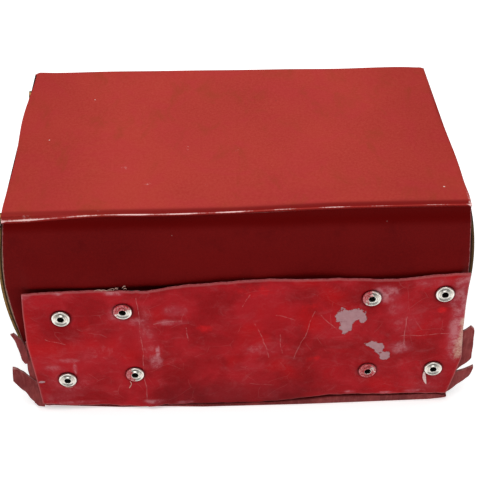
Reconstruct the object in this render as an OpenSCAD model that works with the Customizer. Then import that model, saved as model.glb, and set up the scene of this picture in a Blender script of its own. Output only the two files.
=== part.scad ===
// Box camera for square pictures on roll film, covered in red leathercloth.
// It lies on its side: +X runs from the lens end to the back door, +Y is the
// side that is uppermost in use, and Z = 0 is the face it rests on.
// All sizes are in millimetres.

/* [Body] */
// Length along the lens axis, over the covering
body_l = 140; // [138:0.5:142]
// Depth from the near face to the handle face
body_d = 85; // [84.5:0.1:86]
// Height as the camera lies
body_h = 81; // [80.8:0.1:82]
// Thickness of the body boards
board_t = 3; // [2.6:0.1:3]
// How far the two end covers bow outward
bow_rise = 4.1; // [3:0.1:4.5]
// Height where the bowed part of an end cover starts
bow_z0 = 25; // [22:0.5:27]

/* [Covering] */
// Thickness of the leathercloth that is still glued down
cloth_t = 0.8; // [0.6:0.05:0.8]
// Thickness of the loose leather flap on the near face
flap_t = 1; // [0.8:0.05:1]
// Height of the lower edge of the flap
flap_z0 = 23; // [22.5:0.5:26]
// Height of the flap's widest line
flap_wide_z = 54; // [50:1:58]
// How far the flap stands past the body at that line
flap_out = 2.6; // [1:0.1:3]

/* [Riveted band] */
// Height of the band's upper edge at its right end
band_z1 = 57; // [55.5:0.5:60]
// Thickness of the band
band_t = 1.2; // [1:0.05:1.3]
// Radius of a hollow rivet's rim
rivet_r = 2.9; // [2.5:0.05:3.1]
// Radius of the hole through a rivet
rivet_hole_r = 0.9; // [0.6:0.05:1]
// Size of an anchor plate behind the band, along X and Z
anchor_size = [30.6, 42]; // [20:1:43]

/* [Lens and shutter] */
// Radius of the lens
lens_r = 9.3; // [8.9:0.05:9.4]
// Radius of the brass bezel
bezel_r = 15.5; // [14:0.1:17]
// Radii of the three stops, largest first
stop_r = [4.4, 3.3, 2.4]; // [1:0.1:5]
// Distance between the stops along the slide
stop_pitch = 12; // [11:0.5:12.5]
// Radius of the shutter disc
disc_r = 17; // [16:0.5:17.5]
// Radius from the disc's pivot to its exposure hole
disc_arm = 11.5; // [11:0.1:12]
// Turn of the disc for one exposure, in degrees
disc_turn = 110; // [106:1:112]
// Swing of the release lever, in degrees
lever_swing = 30; // [26:1:30]

/* [Finder] */
// Side of the square finder frame on the front
finder_frame = 17; // [16.5:0.1:17.5]

/* [Film] */
// Side of the square picture
picture = 57; // [54:0.5:57]
// Length of a spool over its flanges
spool_l = 65; // [64:0.1:65]
// Radius of a spool's flanges
spool_r = 11.3; // [10.5:0.05:11.4]
// Radius of a film roller
roller_r = 3; // [2.5:0.05:3]

/* [Winding] */
// Radius of the key's shaft
key_r = 2.4; // [2.2:0.05:2.45]
// Length of the key's driving blade
key_blade = 3.2; // [3:0.1:3.4]

/* [Back door] */
// Radius of the hole for the frame-number window
window_r = 5; // [4:0.1:5.2]
// Radius of the hinge pin
hinge_pin_r = 0.9; // [0.8:0.05:1]

/* [Handle] */
// Width of the handle strap
strap_w = 14; // [12:0.5:15]
// Height of the strap's arch over the handle face
strap_rise = 8; // [6:0.5:10]

/* [Hidden] */
$fn = 48;
eps = 0.01;

// Outer faces of the covering
x_front = -body_l / 2;
x_back = body_l / 2;
y_near = -body_d / 2;
y_far = body_d / 2;
// Outer faces of the boards, and the inside of the box
x_board0 = x_front + 1.2;
x_board1 = x_back - 4;
yb = y_far - cloth_t;
zb0 = cloth_t;
zb1 = body_h - cloth_t;
yi = yb - board_t;
zi0 = zb0 + board_t;
zi1 = zb1 - board_t;
// Lens axis
axis_z = body_h / 2;

// Layers of the shutter, from the front board outward
board_x = x_front + 10;
front_board_t = 5;
plate_t = 0.6;
plate_x = board_x - plate_t;
slide_x = plate_x - 0.8;
slide_t = 0.6;
disc_x = board_x - 3.4;
disc_t = 0.4;
lever_x = board_x - 4.6;
lever_t = 0.6;
disc_pivot = [0, axis_z - disc_arm];
lever_pivot = [24, 22];
slide_w = 14;
time_z = [50.5, 55.5];
lever_slot_z = [14.3, 29.7];

// Finder in the upper front corner
finder_y = [21, 41.2];
finder_z = [57.4, 73];
finder_x = [x_front + 5, x_front + 19.8];
finder_c = [29.5, 64.5];

// Film carrier
spool_x = -30;
takeup_z = zi0 + spool_r + 0.4;
supply_z = zi1 - spool_r - 0.4;
carrier_y = 37.3;
carrier_t = 1.2;
gate_x = 47;
roller_x = gate_x + 4.8;
roller_z = [9, body_h - 9];
cone_half0 = 6.5;
cone_half1 = picture / 2 + 1.5;

// Door and hinge
door_gap = 0.3;
door_x = x_board1 + door_gap;
hinge_x = x_back + 0.2;
hinge_y = y_far + 1.7;
knuckle_r = 1.7;
hinge_z = [12, 26, 55, 69];
pocket_x = x_back + 0.7;

// Band on the near face
band_y1 = y_near - 2.3;
band_y0 = band_y1 - band_t;
anchor_t = 0.8;
anchor_z0 = 10;
rivets_left = [[-56.2, 42.6], [-36.6, 45], [-56.8, 15], [-34.4, 16.8]];
rivets_right = [[42.1, 48.4], [65.2, 49.5], [43.2, 15.9], [65.4, 16.1]];
torn_y = [y_near - 1.95, y_near - 1.1];

// ---- shared shapes ----

// A block between two corners.
module block(a, b) {
    translate(a) cube([b[0] - a[0], b[1] - a[1], b[2] - a[2]]);
}

// A round bar along X from x0 to x1, centred on c = [y, z].
module bar_x(x0, x1, c, r) {
    translate([x0, c[0], c[1]]) rotate([0, 90, 0]) cylinder(h = x1 - x0, r = r);
}

// A round bar along Y from y0 to y1, centred on c = [x, z].
module bar_y(y0, y1, c, r) {
    translate([c[0], y0, c[1]]) rotate([-90, 0, 0]) cylinder(h = y1 - y0, r = r);
}

// A round bar along Z from z0 to z1, centred on c = [x, y].
module bar_z(z0, z1, c, r) {
    translate([c[0], c[1], z0]) cylinder(h = z1 - z0, r = r);
}

// A flat outline in X and Z, from y0 to y1.
module sheet_xz(y0, y1, points) {
    translate([0, y1, 0]) rotate([90, 0, 0]) linear_extrude(y1 - y0) polygon(points);
}

// An outline in Y and Z, from x0 to x1.
module sheet_yz(x0, x1) {
    translate([x0, 0, 0]) rotate([90, 0, 90]) linear_extrude(x1 - x0) children();
}

// How far an end cover stands out at height z: one arc from bow_z0 to the top board.
bow_c = (bow_z0 + zb1) / 2;
bow_half = (zb1 - bow_z0) / 2;
bow_r = (bow_half * bow_half + bow_rise * bow_rise) / (2 * bow_rise);
function bow(z) = abs(z - bow_c) >= bow_half ? 0
    : sqrt(bow_r * bow_r - (z - bow_c) * (z - bow_c)) - (bow_r - bow_rise);

// Points up an end cover between two heights, t inside its outer face.
function bow_arc(x, side, t, z0, z1, steps = 28) = [
    for (i = [0 : steps]) let (z = z0 + (z1 - z0) * i / steps) [x + side * (bow(z) - t), z]
];
// The same from z0 in the flat part, round the whole bow to z1.
function bow_line(x, side, t, z0, z1) = concat([[x - side * t, z0]], bow_arc(x, side, t, bow_z0, z1));
function reversed(list) = [for (i = [len(list) - 1 : -1 : 0]) list[i]];

// A coil spring's wire, swept along a helix of the given turns: local axis +Z.
function ring_at(centre, out, r, sides) = [
    for (k = [0 : sides - 1]) let (a = 360 * k / sides)
        centre + out * r * cos(a) + [0, 0, r * sin(a)]
];
module coil(length, coil_r, wire_r, turns, sides = 6, steps = 12) {
    rings = turns * steps;
    points = [
        for (i = [0 : rings]) let (a = 360 * i / steps, out = [cos(a), sin(a), 0])
            each ring_at(out * coil_r + [0, 0, length * i / rings], out, wire_r, sides)
    ];
    sides_faces = [
        for (i = [0 : rings - 1], k = [0 : sides - 1]) let (n = (k + 1) % sides)
            [i * sides + k, (i + 1) * sides + k, (i + 1) * sides + n, i * sides + n]
    ];
    ends = [
        [for (k = [0 : sides - 1]) k],
        [for (k = [sides - 1 : -1 : 0]) rings * sides + k]
    ];
    polyhedron(points, concat(sides_faces, ends), convexity = 10);
}

// The openings through the handle face: slides, lever, finder and key.
module far_openings(y0, y1) {
    block([slide_x - 0.3, y0, axis_z - slide_w / 2 - 0.4],
          [slide_x + slide_t + 0.3, y1, axis_z + slide_w / 2 + 0.4]);
    block([slide_x - 0.3, y0, time_z[0] - 0.4], [slide_x + slide_t + 0.3, y1, time_z[1] + 0.4]);
    block([lever_x - 0.5, y0, lever_slot_z[0]], [lever_x + lever_t + 0.5, y1, lever_slot_z[1]]);
    block([finder_x[0], y0, finder_z[0]], [finder_x[1], y1, finder_z[1]]);
    bar_y(y0, y1, [spool_x, takeup_z], 3.6);
}

// ---- body boards ----

module top_board() {
    color("saddlebrown") block([x_board0, -yb, zi1], [x_board1, yb, zb1]);
}

module base_board() {
    color("saddlebrown") difference() {
        block([x_board0, -yb, zb0], [x_board1, yb, zi0]);
        bar_z(zb0 - 1, zi0 + 1, [0, 0], 5.2);
    }
}

// The near and far boards are cut to the bow at the lens end.
side_x0 = x_board0 + 0.03;
side_outline = concat(bow_line(side_x0, -1, 0, zi0, zi1), [[x_board1, zi1], [x_board1, zi0]]);

module near_board() {
    color("saddlebrown") sheet_xz(-yb, -yi, side_outline);
}

module far_board() {
    color("saddlebrown") difference() {
        sheet_xz(yi, yb, side_outline);
        far_openings(yi - 1, yb + 1);
    }
}

// ---- leathercloth ----

// The upper covering turns down over the near edge in a narrow rolled lip.
module top_cover() {
    lip = 2.2;
    color("firebrick") {
        sheet = [
            [y_near, body_h - lip], [y_near, body_h - 1.1], [y_near + 0.5, body_h - 0.4],
            [y_near + 1.6, body_h], [y_far, body_h], [y_far, zb1], [-yb, zb1], [-yb, body_h - lip]
        ];
        sheet_yz(x_front, x_back) polygon(sheet);
    }
}

module far_cover() {
    outline = concat(bow_line(x_front, -1, 0, cloth_t, zb1), [[x_board1, zb1], [x_board1, cloth_t]]);
    color("firebrick") difference() {
        sheet_xz(yb, y_far, outline);
        far_openings(yb - 1, y_far + 1);
    }
}

// The lower covering, with the torn lip that stands out in front and carries the band.
module base_cover() {
    color("firebrick") difference() {
        union() {
            block([x_front, y_near, 0], [x_back, y_far, cloth_t]);
            block([-68, torn_y[0], 0], [73, y_near + eps, 0.4]);
            block([-26, band_y0 - 0.2, 0], [30, y_near + eps, 0.7]);
            block([22, band_y0 + 0.2, 0], [69.5, y_near + eps, 2.4]);
        }
        bar_z(-1, cloth_t + 1, [0, 0], 5.2);
    }
}

// The loose flap over the near face: widest at flap_wide_z, cut in at its lower corners.
module near_flap() {
    half = body_l / 2;
    color("darkred") sheet_xz(y_near - flap_t, y_near, [
        [-half, body_h - 1.6], [-half - flap_out, flap_wide_z], [-half, 27], [-half + 3.5, flap_z0],
        [half - 3.5, flap_z0], [half, 27], [half + flap_out, flap_wide_z], [half, body_h - 1.6]
    ]);
}

// ---- riveted band ----

// The band stands in front of the flap. Its right end is cut back below the lower rivet.
module strap_band() {
    color("crimson") difference() {
        sheet_xz(band_y0, band_y1, [
            [-66.4, 3.2], [-53, 1.8], [-40, 1], [-30, 1], [-24, 1.4], [14, 1.1], [21, 2.7],
            [31, 3.9], [71.4, 3.8], [74.6, 20.5], [73.3, 34], [72.6, 44], [72.5, band_z1 + 0.4],
            [62.5, band_z1], [56.5, band_z1 - 1], [42, band_z1 - 1.4], [34.5, band_z1 - 0.7],
            [7, band_z1 - 0.4], [-6, band_z1 - 1.3], [-18, band_z1 - 2.4], [-28, band_z1 - 3.9],
            [-58.5, band_z1 - 3.9], [-67.3, band_z1 - 4.6], [-68.4, 31]
        ]);
        for (c = concat(rivets_left, rivets_right)) bar_y(band_y0 - 1, band_y1 + 1, c, 1.5);
    }
}

// Hollow rivets: a dished rim on the near side, a tube through the band, and a rolled tail.
module band_rivets() {
    tail = 0.35;
    tail_y = band_y1 + anchor_t;
    color("silver") for (c = concat(rivets_left, rivets_right))
        translate([c[0], 0, c[1]]) rotate([90, 0, 0]) rotate_extrude() polygon([
            [rivet_hole_r, -tail_y - tail], [2.3, -tail_y - tail], [2.3, -tail_y],
            [1.5, -tail_y], [1.5, -band_y0], [rivet_r - 0.3, -band_y0],
            [rivet_r, -band_y0 + 0.35], [rivet_r - 0.35, -band_y0 + 0.75],
            [rivet_r - 0.8, -band_y0 + 0.62], [1.55, -band_y0 + 0.25],
            [1.3, -band_y0 + 0.6], [rivet_hole_r, -band_y0 + 0.5]
        ]);
}

// A steel plate behind each group of four rivets, which once held the end of a carrying strap.
module anchor_plate(rivets, x0) {
    color("gray") difference() {
        block([x0, band_y1, anchor_z0],
              [x0 + anchor_size[0], band_y1 + anchor_t, anchor_z0 + anchor_size[1]]);
        for (c = rivets) bar_y(band_y1 - 1, band_y1 + 2, c, 1.5);
    }
}
module anchor_plate_left() { anchor_plate(rivets_left, -61.5); }
module anchor_plate_right() { anchor_plate(rivets_right, 38.6); }

// The lower corners of the covering, slit into two tabs each and sprung outward.
module torn_corner_left() {
    color("brown") sheet_xz(torn_y[0], torn_y[1], [
        [-62, 0.4], [-66.4, 0.4], [-69.6, 4.4], [-71.9, 7.8], [-73.9, 10.9], [-75.3, 13.4],
        [-74.6, 19.7], [-73, 19.1], [-71.9, 17.7], [-70.6, 15.9], [-70.4, 21.2], [-71.2, 22.9],
        [-71.5, 26.7], [-72.2, 31.3], [-73.4, 34.6], [-72.5, 35], [-70, 31.7], [-69.2, 28],
        [-68.6, 23], [-62, 23]
    ]);
}
module torn_corner_right() {
    color("brown") sheet_xz(torn_y[0], torn_y[1], [
        [69.5, 0.4], [71.5, 0.4], [74.4, 4.3], [77.1, 7.8], [78.9, 9.9], [79.6, 13.8],
        [79.4, 15.6], [76.8, 13.5], [74.5, 12.8], [76.5, 15.7], [78.5, 18.6], [78.3, 24.5],
        [77.6, 31.5], [77.2, 32.9], [76.1, 33.1], [73.1, 30.5], [72, 22], [69.5, 20]
    ]);
}

// ---- front ----

screw_at = [for (y = [-36, 36], z = [6.5, 75]) [y, z]];

module front_board() {
    color("burlywood") difference() {
        block([board_x, -yi, zi0], [board_x + front_board_t, yi, zi1]);
        bar_x(board_x - 1, board_x + front_board_t + 1, [0, axis_z], 9);
        block([board_x - 1, finder_y[0], finder_z[0]], [board_x + 10, yi + 1, finder_z[1]]);
        for (c = screw_at) bar_x(board_x - 1, board_x + 3, c, 0.9);
    }
}

// A bowed steel sheet with a round boss for the lens.
module front_cover() {
    outline = concat(bow_line(x_front, -1, 0, zb0, zb1), reversed(bow_line(x_front, -1, 1.2, zb0, zb1)));
    half = finder_frame / 2;
    color("#3a2216") difference() {
        union() {
            sheet_xz(-yb, yb, outline);
            bar_x(x_front - 5.2, x_front - 0.6, [0, axis_z], 18);
        }
        bar_x(x_front - 10, x_front + 5, [0, axis_z], 10.5);
        block([x_front - 9, finder_c[0] - half, finder_c[1] - half],
              [x_front + 3, finder_c[0] + half, finder_c[1] + half]);
        for (c = screw_at) bar_x(x_front - 9, x_front + 3, c, 1.9);
    }
}

module cover_screws() {
    color("goldenrod") for (c = screw_at) {
        head = x_front - bow(c[1]) - 0.5;
        difference() {
            bar_x(head, x_board0, c, 1.8);
            block([head - 1, c[0] - 2, c[1] - 0.25], [head + 0.5, c[0] + 2, c[1] + 0.25]);
        }
        bar_x(x_board0 - eps, board_x + 3, c, 0.9);
    }
}

lens_seat = x_front - 2.6;

module lens_mount() {
    color("#222222") difference() {
        bar_x(x_front - 6.4, x_front + 2, [0, axis_z], 10.5);
        bar_x(x_front - 7, lens_seat, [0, axis_z], lens_r);
        bar_x(x_front - 7, x_front + 3, [0, axis_z], lens_r - 1.1);
    }
}

module lens_bezel() {
    color("goldenrod") translate([x_front - 5.2, 0, axis_z]) rotate([0, -90, 0]) rotate_extrude()
        polygon([[10.5, 0], [bezel_r, 0], [bezel_r, 0.7], [bezel_r - 1.2, 1.7], [12.2, 1.9],
                 [11.4, 1.3], [10.5, 1.2]]);
}

// A meniscus lens: its front is a sphere of lens_front_r, its hollow back one of lens_back_r.
lens_front_r = 28;
lens_back_r = 50;
lens_h = 2.6;
function sag(r, sphere_r) = sphere_r - sqrt(sphere_r * sphere_r - r * r);

module lens() {
    steps = 10;
    hollow = sag(lens_r, lens_back_r);
    color("lightblue", 0.5) translate([lens_seat, 0, axis_z]) rotate([0, -90, 0]) rotate_extrude()
        polygon(concat(
            [for (i = [0 : steps]) let (r = lens_r * i / steps) [r, hollow - sag(r, lens_back_r)]],
            [for (i = [steps : -1 : 0]) let (r = lens_r * i / steps) [r, lens_h - sag(r, lens_front_r)]]
        ));
}

module lens_retainer() {
    inner_r = lens_r - 0.9;
    x1 = lens_seat - lens_h + sag(inner_r, lens_front_r);
    color("goldenrod") difference() {
        bar_x(x1 - 1, x1, [0, axis_z], lens_r);
        bar_x(x1 - 2, x1 + 1, [0, axis_z], inner_r);
    }
}

// ---- shutter ----

module shutter_plate() {
    rail = 1.5;
    color("dimgray") difference() {
        union() {
            block([plate_x, -34, 10], [board_x, 34, 56.6]);
            for (side = [-1, 1]) {
                z = axis_z + side * (slide_w / 2 + 0.2 + rail / 2);
                block([slide_x - 0.5, -34, z - rail / 2], [plate_x + eps, 34, z + rail / 2]);
            }
        }
        bar_x(plate_x - 1, board_x + 1, [0, axis_z], 5.2);
        bar_x(plate_x - 5, board_x + 1, disc_pivot, 1);
        bar_x(plate_x - 5, board_x + 1, lever_pivot, 1);
    }
}

// The disc covers the lens at rest. Its hole crosses the lens axis half way through its turn.
module shutter_disc() {
    color("#333333") translate([0, disc_pivot[0], disc_pivot[1]]) difference() {
        union() {
            bar_x(disc_x, disc_x + disc_t, [0, 0], disc_r);
            rotate([-30, 0, 0]) bar_x(disc_x - 0.5, disc_x + eps, [12, 0], 0.7);
        }
        bar_x(disc_x - 1, disc_x + 1, [0, 0], 1.06);
        rotate([90 + disc_turn / 2, 0, 0]) bar_x(disc_x - 1, disc_x + 1, [disc_arm, 0], 4.8);
    }
}

module shutter_pivots() {
    color("silver") for (p = [[disc_pivot, disc_x], [lever_pivot, lever_x]]) {
        bar_x(p[1] - 0.7, board_x, p[0], 1);
        bar_x(p[1] - 1.2, p[1] - 0.5, p[0], 2);
    }
}

// The lever's finger passes out through the handle face. It rests at the low end of its slot.
module shutter_lever() {
    reach = y_far + 7 - lever_pivot[0];
    arm = 13;
    color("silver") translate([lever_x, lever_pivot[0], lever_pivot[1]]) rotate([-lever_swing / 2, 0, 0])
        difference() {
            union() {
                bar_x(0, lever_t, [0, 0], 3.4);
                block([0, 0, -2], [lever_t, reach - 2.5, 2]);
                bar_x(0, lever_t, [reach - 2.5, 0], 2.5);
                block([0, -arm, -1.6], [lever_t, 0, 1.6]);
                bar_x(0, lever_t, [-arm, 0], 1.6);
            }
            bar_x(-1, 2, [0, 0], 1.06);
        }
}

// The return spring wound round the lever's pivot.
module shutter_spring() {
    gap = 0.3;
    color("silver") translate([lever_x + lever_t + gap, lever_pivot[0], lever_pivot[1]])
        rotate([0, 90, 0]) coil(plate_x - lever_x - lever_t - 2 * gap, 2.2, 0.25, 4);
}

module aperture_slide() {
    y1 = y_far + 4.2;
    half = slide_w / 2;
    color("silver") difference() {
        union() {
            block([slide_x, -2 * stop_pitch - 6, axis_z - half], [slide_x + slide_t, y1, axis_z + half]);
            block([slide_x - 2.2, y1 - 0.7, axis_z - half + 1], [slide_x + eps, y1, axis_z + half - 1]);
        }
        for (i = [0 : 2]) bar_x(slide_x - 1, slide_x + 1, [-i * stop_pitch, axis_z], stop_r[i]);
    }
}

module time_slide() {
    y1 = y_far + 4.2;
    color("silver") {
        block([slide_x, 14, time_z[0]], [slide_x + slide_t, y1, time_z[1]]);
        block([slide_x - 2.2, y1 - 0.7, time_z[0] + 0.4], [slide_x + eps, y1, time_z[1] - 0.4]);
    }
}

// ---- finder ----

module finder_box() {
    w = 0.8;
    color("#222222") difference() {
        block([finder_x[0], finder_y[0], finder_z[0]], [finder_x[1], finder_y[1], finder_z[1]]);
        block([finder_x[0] - 1, finder_y[0] + w, finder_z[0] + w],
              [finder_x[1] - w, finder_y[1] + 1, finder_z[1] - w]);
    }
}

module finder_mirror() {
    x0 = finder_x[0];
    x1 = finder_x[1] - 0.8;
    y0 = finder_y[0] + 0.8;
    run = x1 - x0 - 2.4;
    color("white") translate([0, 0, finder_z[0] + 1.2]) linear_extrude(finder_z[1] - finder_z[0] - 2.4)
        polygon([[x0 + 1, y0], [x0 + 2.4, y0], [x1, y0 + run], [x1, y0 + run + 1.4]]);
}

module finder_lens_frame() {
    half = finder_frame / 2;
    hole = half - 1.8;
    z = [finder_c[1] - half, finder_c[1] + half];
    back_x = x_front - 0.4;
    outline = concat(bow_arc(x_front, -1, -0.8, z[0], z[1], 8), [[back_x, z[1]], [back_x, z[0]]]);
    color("goldenrod") difference() {
        sheet_xz(finder_c[0] - half, finder_c[0] + half, outline);
        block([x_front - 6, finder_c[0] - hole, finder_c[1] - hole],
              [x_front + 1, finder_c[0] + hole, finder_c[1] + hole]);
    }
}

module finder_lens() {
    half = finder_frame / 2 - 1.8;
    color("lightblue", 0.5) intersection() {
        block([x_front - 4, finder_c[0] - half, finder_c[1] - half],
              [x_front - 1, finder_c[0] + half, finder_c[1] + half]);
        translate([x_front + 26.5, finder_c[0], finder_c[1]]) sphere(r = 30, $fn = 240);
    }
}

module finder_glass() {
    color("lightblue", 0.5)
        block([finder_x[0], finder_y[1], finder_z[0]], [finder_x[1], y_far, finder_z[1]]);
}

module finder_window_frame() {
    color("goldenrod") difference() {
        block([finder_x[0] - 1, y_far, finder_z[0] - 1], [finder_x[1] + 1, y_far + 1, finder_z[1] + 1]);
        block([finder_x[0] + 1.2, y_far - 1, finder_z[0] + 1.2],
              [finder_x[1] - 1.2, y_far + 2, finder_z[1] - 1.2]);
    }
}

// ---- film carrier ----

// The light cone is four thin boards. Each runs from a narrow end to a wide one, and
// the side boards fit between the flat ones.
cone_x0 = board_x + front_board_t;
cone_wall = 1.2;

module cone_end(x, half, side, flat) {
    inner = half - cone_wall;
    a = min(side * inner, side * half);
    if (flat) translate([x, -half, axis_z + a]) cube([0.1, 2 * half, cone_wall]);
    else translate([x, a, axis_z - inner]) cube([0.1, cone_wall, 2 * inner]);
}

module cone_board(side, flat) {
    hull() {
        cone_end(cone_x0, cone_half0, side, flat);
        cone_end(gate_x - 0.1, cone_half1, side, flat);
    }
}

module cone_flat_walls() {
    color("#222222") for (side = [-1, 1]) cone_board(side, true);
}

module cone_side_walls() {
    color("#222222") for (side = [-1, 1]) cone_board(side, false);
}

module film_gate() {
    half = picture / 2;
    color("dimgray") difference() {
        block([gate_x, -carrier_y, 5], [gate_x + 1.2, carrier_y, body_h - 5]);
        block([gate_x - 1, -half, axis_z - half], [gate_x + 3, half, axis_z + half]);
    }
}

// A side plate of the carrier, with holes for both rollers.
module carrier_plate(y0) {
    difference() {
        block([-44, y0, 5], [54, y0 + carrier_t, body_h - 5]);
        for (z = roller_z) bar_y(y0 - 1, y0 + 3, [roller_x, z], 1.25);
        children();
    }
}

module carrier_plate_upper() {
    color("dimgray") carrier_plate(carrier_y) {
        bar_y(carrier_y - 1, carrier_y + 3, [spool_x, takeup_z], 3.2);
        bar_y(carrier_y - 1, carrier_y + 3, [spool_x, supply_z], 2.2);
    }
}

module carrier_plate_lower() {
    color("dimgray") carrier_plate(-carrier_y - carrier_t)
        for (z = [takeup_z, supply_z]) bar_y(-carrier_y - 3, -carrier_y + 1, [spool_x, z], 2.2);
}

module film_roller(z) {
    color("silver") {
        bar_y(-35, 35, [roller_x, z], roller_r);
        bar_y(-carrier_y - 1, carrier_y + 1, [roller_x, z], 1.18);
    }
}
module film_roller_left() { film_roller(roller_z[1]); }
module film_roller_right() { film_roller(roller_z[0]); }

// An empty spool: a core between two flanges, bored at both ends and slotted at the key end.
module spool(z) {
    half = spool_l / 2;
    difference() {
        union() {
            bar_y(-half, half, [spool_x, z], 5.4);
            bar_y(-half, -half + 1, [spool_x, z], spool_r);
            bar_y(half - 1, half, [spool_x, z], spool_r);
        }
        bar_y(-half - 1, -half + 8, [spool_x, z], 3);
        bar_y(half - 8, half + 1, [spool_x, z], 3);
        block([spool_x - 0.9, half - 7, z - 4.4], [spool_x + 0.9, half + 1, z + 4.4]);
    }
}
module supply_spool() { color("saddlebrown") spool(supply_z); }
module takeup_spool() { color("saddlebrown") spool(takeup_z); }

// Fixed centre pins, one for each spool end that the key does not hold.
module spool_pin(side, z) {
    y = [side * (spool_l / 2 - 6), side * carrier_y, side * (carrier_y + 1.3)];
    bar_y(min(y[0], y[1]), max(y[0], y[1]), [spool_x, z], 2.93);
    bar_y(min(y[1] - side * eps, y[2]), max(y[1] - side * eps, y[2]), [spool_x, z], 2.2);
}

module spool_pins() {
    color("silver") {
        spool_pin(1, supply_z);
        spool_pin(-1, supply_z);
        spool_pin(-1, takeup_z);
    }
}

// Two bent leaves on the upper plate, which brake the spools.
module spool_brakes() {
    y = carrier_y;
    color("silver") for (z = [takeup_z + 6, supply_z - 10])
        translate([0, 0, z]) linear_extrude(4) polygon([
            [-12, y - 0.4], [-12, y], [-20, y], [-28.8, y - 4], [-33, y - 4], [-33, y - 4.4],
            [-28.6, y - 4.4], [-19.8, y - 0.4]
        ]);
}

// ---- winding key ----

key_seat = y_far + 2.1;

module winding_key() {
    c = [spool_x, takeup_z];
    tip = spool_l / 2 - 4.7;
    wing_y = key_seat + 8;
    color("silver") {
        bar_y(tip, wing_y, c, key_r);
        block([c[0] - 0.7, tip, c[1] - 3.9], [c[0] + 0.7, tip + key_blade, c[1] + 3.9]);
        bar_y(key_seat - 0.5, key_seat - 0.1, c, 3.4);
        bar_y(key_seat + 2.4, key_seat + 3.6, c, 4.4);
        translate([c[0], wing_y, c[1] - 1]) linear_extrude(2) {
            translate([-5.2, 0.5]) circle(r = 4.6);
            translate([5.2, 0.5]) circle(r = 4.6);
            translate([-5.2, -4.1]) square([10.4, 7.4]);
        }
    }
}

module key_guide() {
    c = [spool_x, takeup_z];
    color("silver") difference() {
        bar_y(key_seat, key_seat + 2.3, c, 6);
        bar_y(key_seat - 1, key_seat + 3, c, key_r + 0.06);
    }
}

module key_bush() {
    c = [spool_x, takeup_z];
    color("goldenrod") difference() {
        union() {
            bar_y(yi, y_far + 0.1, c, 3.6);
            bar_y(y_far, y_far + 1.2, c, 7);
        }
        bar_y(yi - 1, y_far + 2, c, key_r + 0.05);
    }
}

// ---- back door ----

door_z = [zb0 + 0.3, zb1 - 0.3];
pocket_y = [-26, 12];
pocket_z = [31, 50];

module back_door() {
    inner = [[door_x, door_z[1]], [door_x, door_z[0]]];
    color("#2a1710") difference() {
        sheet_xz(-yb + 0.4, yb, concat(bow_line(x_back, 1, 0, door_z[0], door_z[1]), inner));
        bar_x(door_x - 1, x_back + 6, [0, axis_z], window_r + 0.5);
        block([pocket_x, pocket_y[0], pocket_z[0]], [x_back + 9, pocket_y[1], pocket_z[1]]);
    }
}

// The rim that enters the body and keeps light out.
module door_light_trap() {
    w = 1.6;
    x0 = door_x - 6;
    color("#222222") difference() {
        block([x0, -yi + 1.1, zi0 + 0.8], [door_x, yi - 0.9, zi1 - 0.8]);
        block([x0 - 1, -yi + 1.1 + w, zi0 + 0.8 + w], [door_x + 1, yi - 0.9 - w, zi1 - 0.8 - w]);
    }
}

// Leaf springs that hold the door shut by friction on the two inside faces.
module door_clips() {
    module leaf(z, side) {
        translate([0, -26, z]) rotate([-90, 0, 0]) linear_extrude(9)
            polygon([[door_x - 5.4, 0], [door_x - 0.2, 0], [door_x - 0.2, -side * 0.3],
                     [door_x - 2.4, -side * 0.5], [door_x - 5.4, -side * 0.3]]);
    }
    color("silver") {
        leaf(zi1 - 0.8, 1);
        leaf(zi0 + 0.8, -1);
    }
}

module window_plate() {
    t = 0.8;
    y0 = pocket_y[0];
    y1 = pocket_y[1];
    color("silver") difference() {
        union() {
            block([pocket_x, y0, pocket_z[0]], [pocket_x + t, y1, pocket_z[1]]);
            for (rail = [[pocket_z[0], 0], [pocket_z[1] - 2, -0.9]]) {
                block([pocket_x + t - eps, y0, rail[0]], [pocket_x + 2.2, y1, rail[0] + 2]);
                block([pocket_x + 1.8, y0, rail[0] + rail[1]], [pocket_x + 2.2, y1, rail[0] + rail[1] + 2.9]);
            }
        }
        bar_x(pocket_x - 1, pocket_x + 2, [0, axis_z], window_r);
    }
}

module red_window() {
    color("red", 0.6) bar_x(pocket_x - 2.2, pocket_x - 1, [0, axis_z], window_r + 0.5);
}

module window_slide() {
    x0 = pocket_x + 1;
    z0 = pocket_z[0] + 2.3;
    z1 = pocket_z[1] - 2.3;
    color("#b08d3c") {
        block([x0, -8.5, z0], [x0 + 0.6, 9, z1]);
        block([x0 + 0.6 - eps, -7, z0 + 3], [x0 + 2.2, -4.6, z1 - 3]);
    }
}

module hinge_leaf_body() {
    color("silver") difference() {
        union() {
            block([53, y_far, hinge_z[0]], [x_board1 + 1.5, y_far + 0.7, hinge_z[3]]);
            for (i = [0, 2]) {
                bar_z(hinge_z[i], hinge_z[i + 1], [hinge_x, hinge_y], knuckle_r);
                block([x_board1 + 1, y_far, hinge_z[i]], [hinge_x, y_far + 0.7, hinge_z[i + 1]]);
            }
        }
        bar_z(0, body_h, [hinge_x, hinge_y], hinge_pin_r);
    }
}

module hinge_leaf_door() {
    z0 = hinge_z[1] + 0.3;
    z1 = hinge_z[2] - 0.3;
    color("silver") difference() {
        union() {
            block([x_back - 3, yb, z0], [x_back + 1.2, y_far - 0.1, z1]);
            block([x_back - 0.8, yb, z0], [x_back + 1.2, hinge_y, z1]);
            bar_z(z0, z1, [hinge_x, hinge_y], knuckle_r);
        }
        bar_z(0, body_h, [hinge_x, hinge_y], hinge_pin_r + 0.06);
    }
}

module hinge_pin() {
    color("silver") bar_z(hinge_z[0], hinge_z[3], [hinge_x, hinge_y], hinge_pin_r);
}

// ---- handle ----

strap_x = [-22, 46];
strap_t = 2;
strap_foot = 9;

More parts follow.
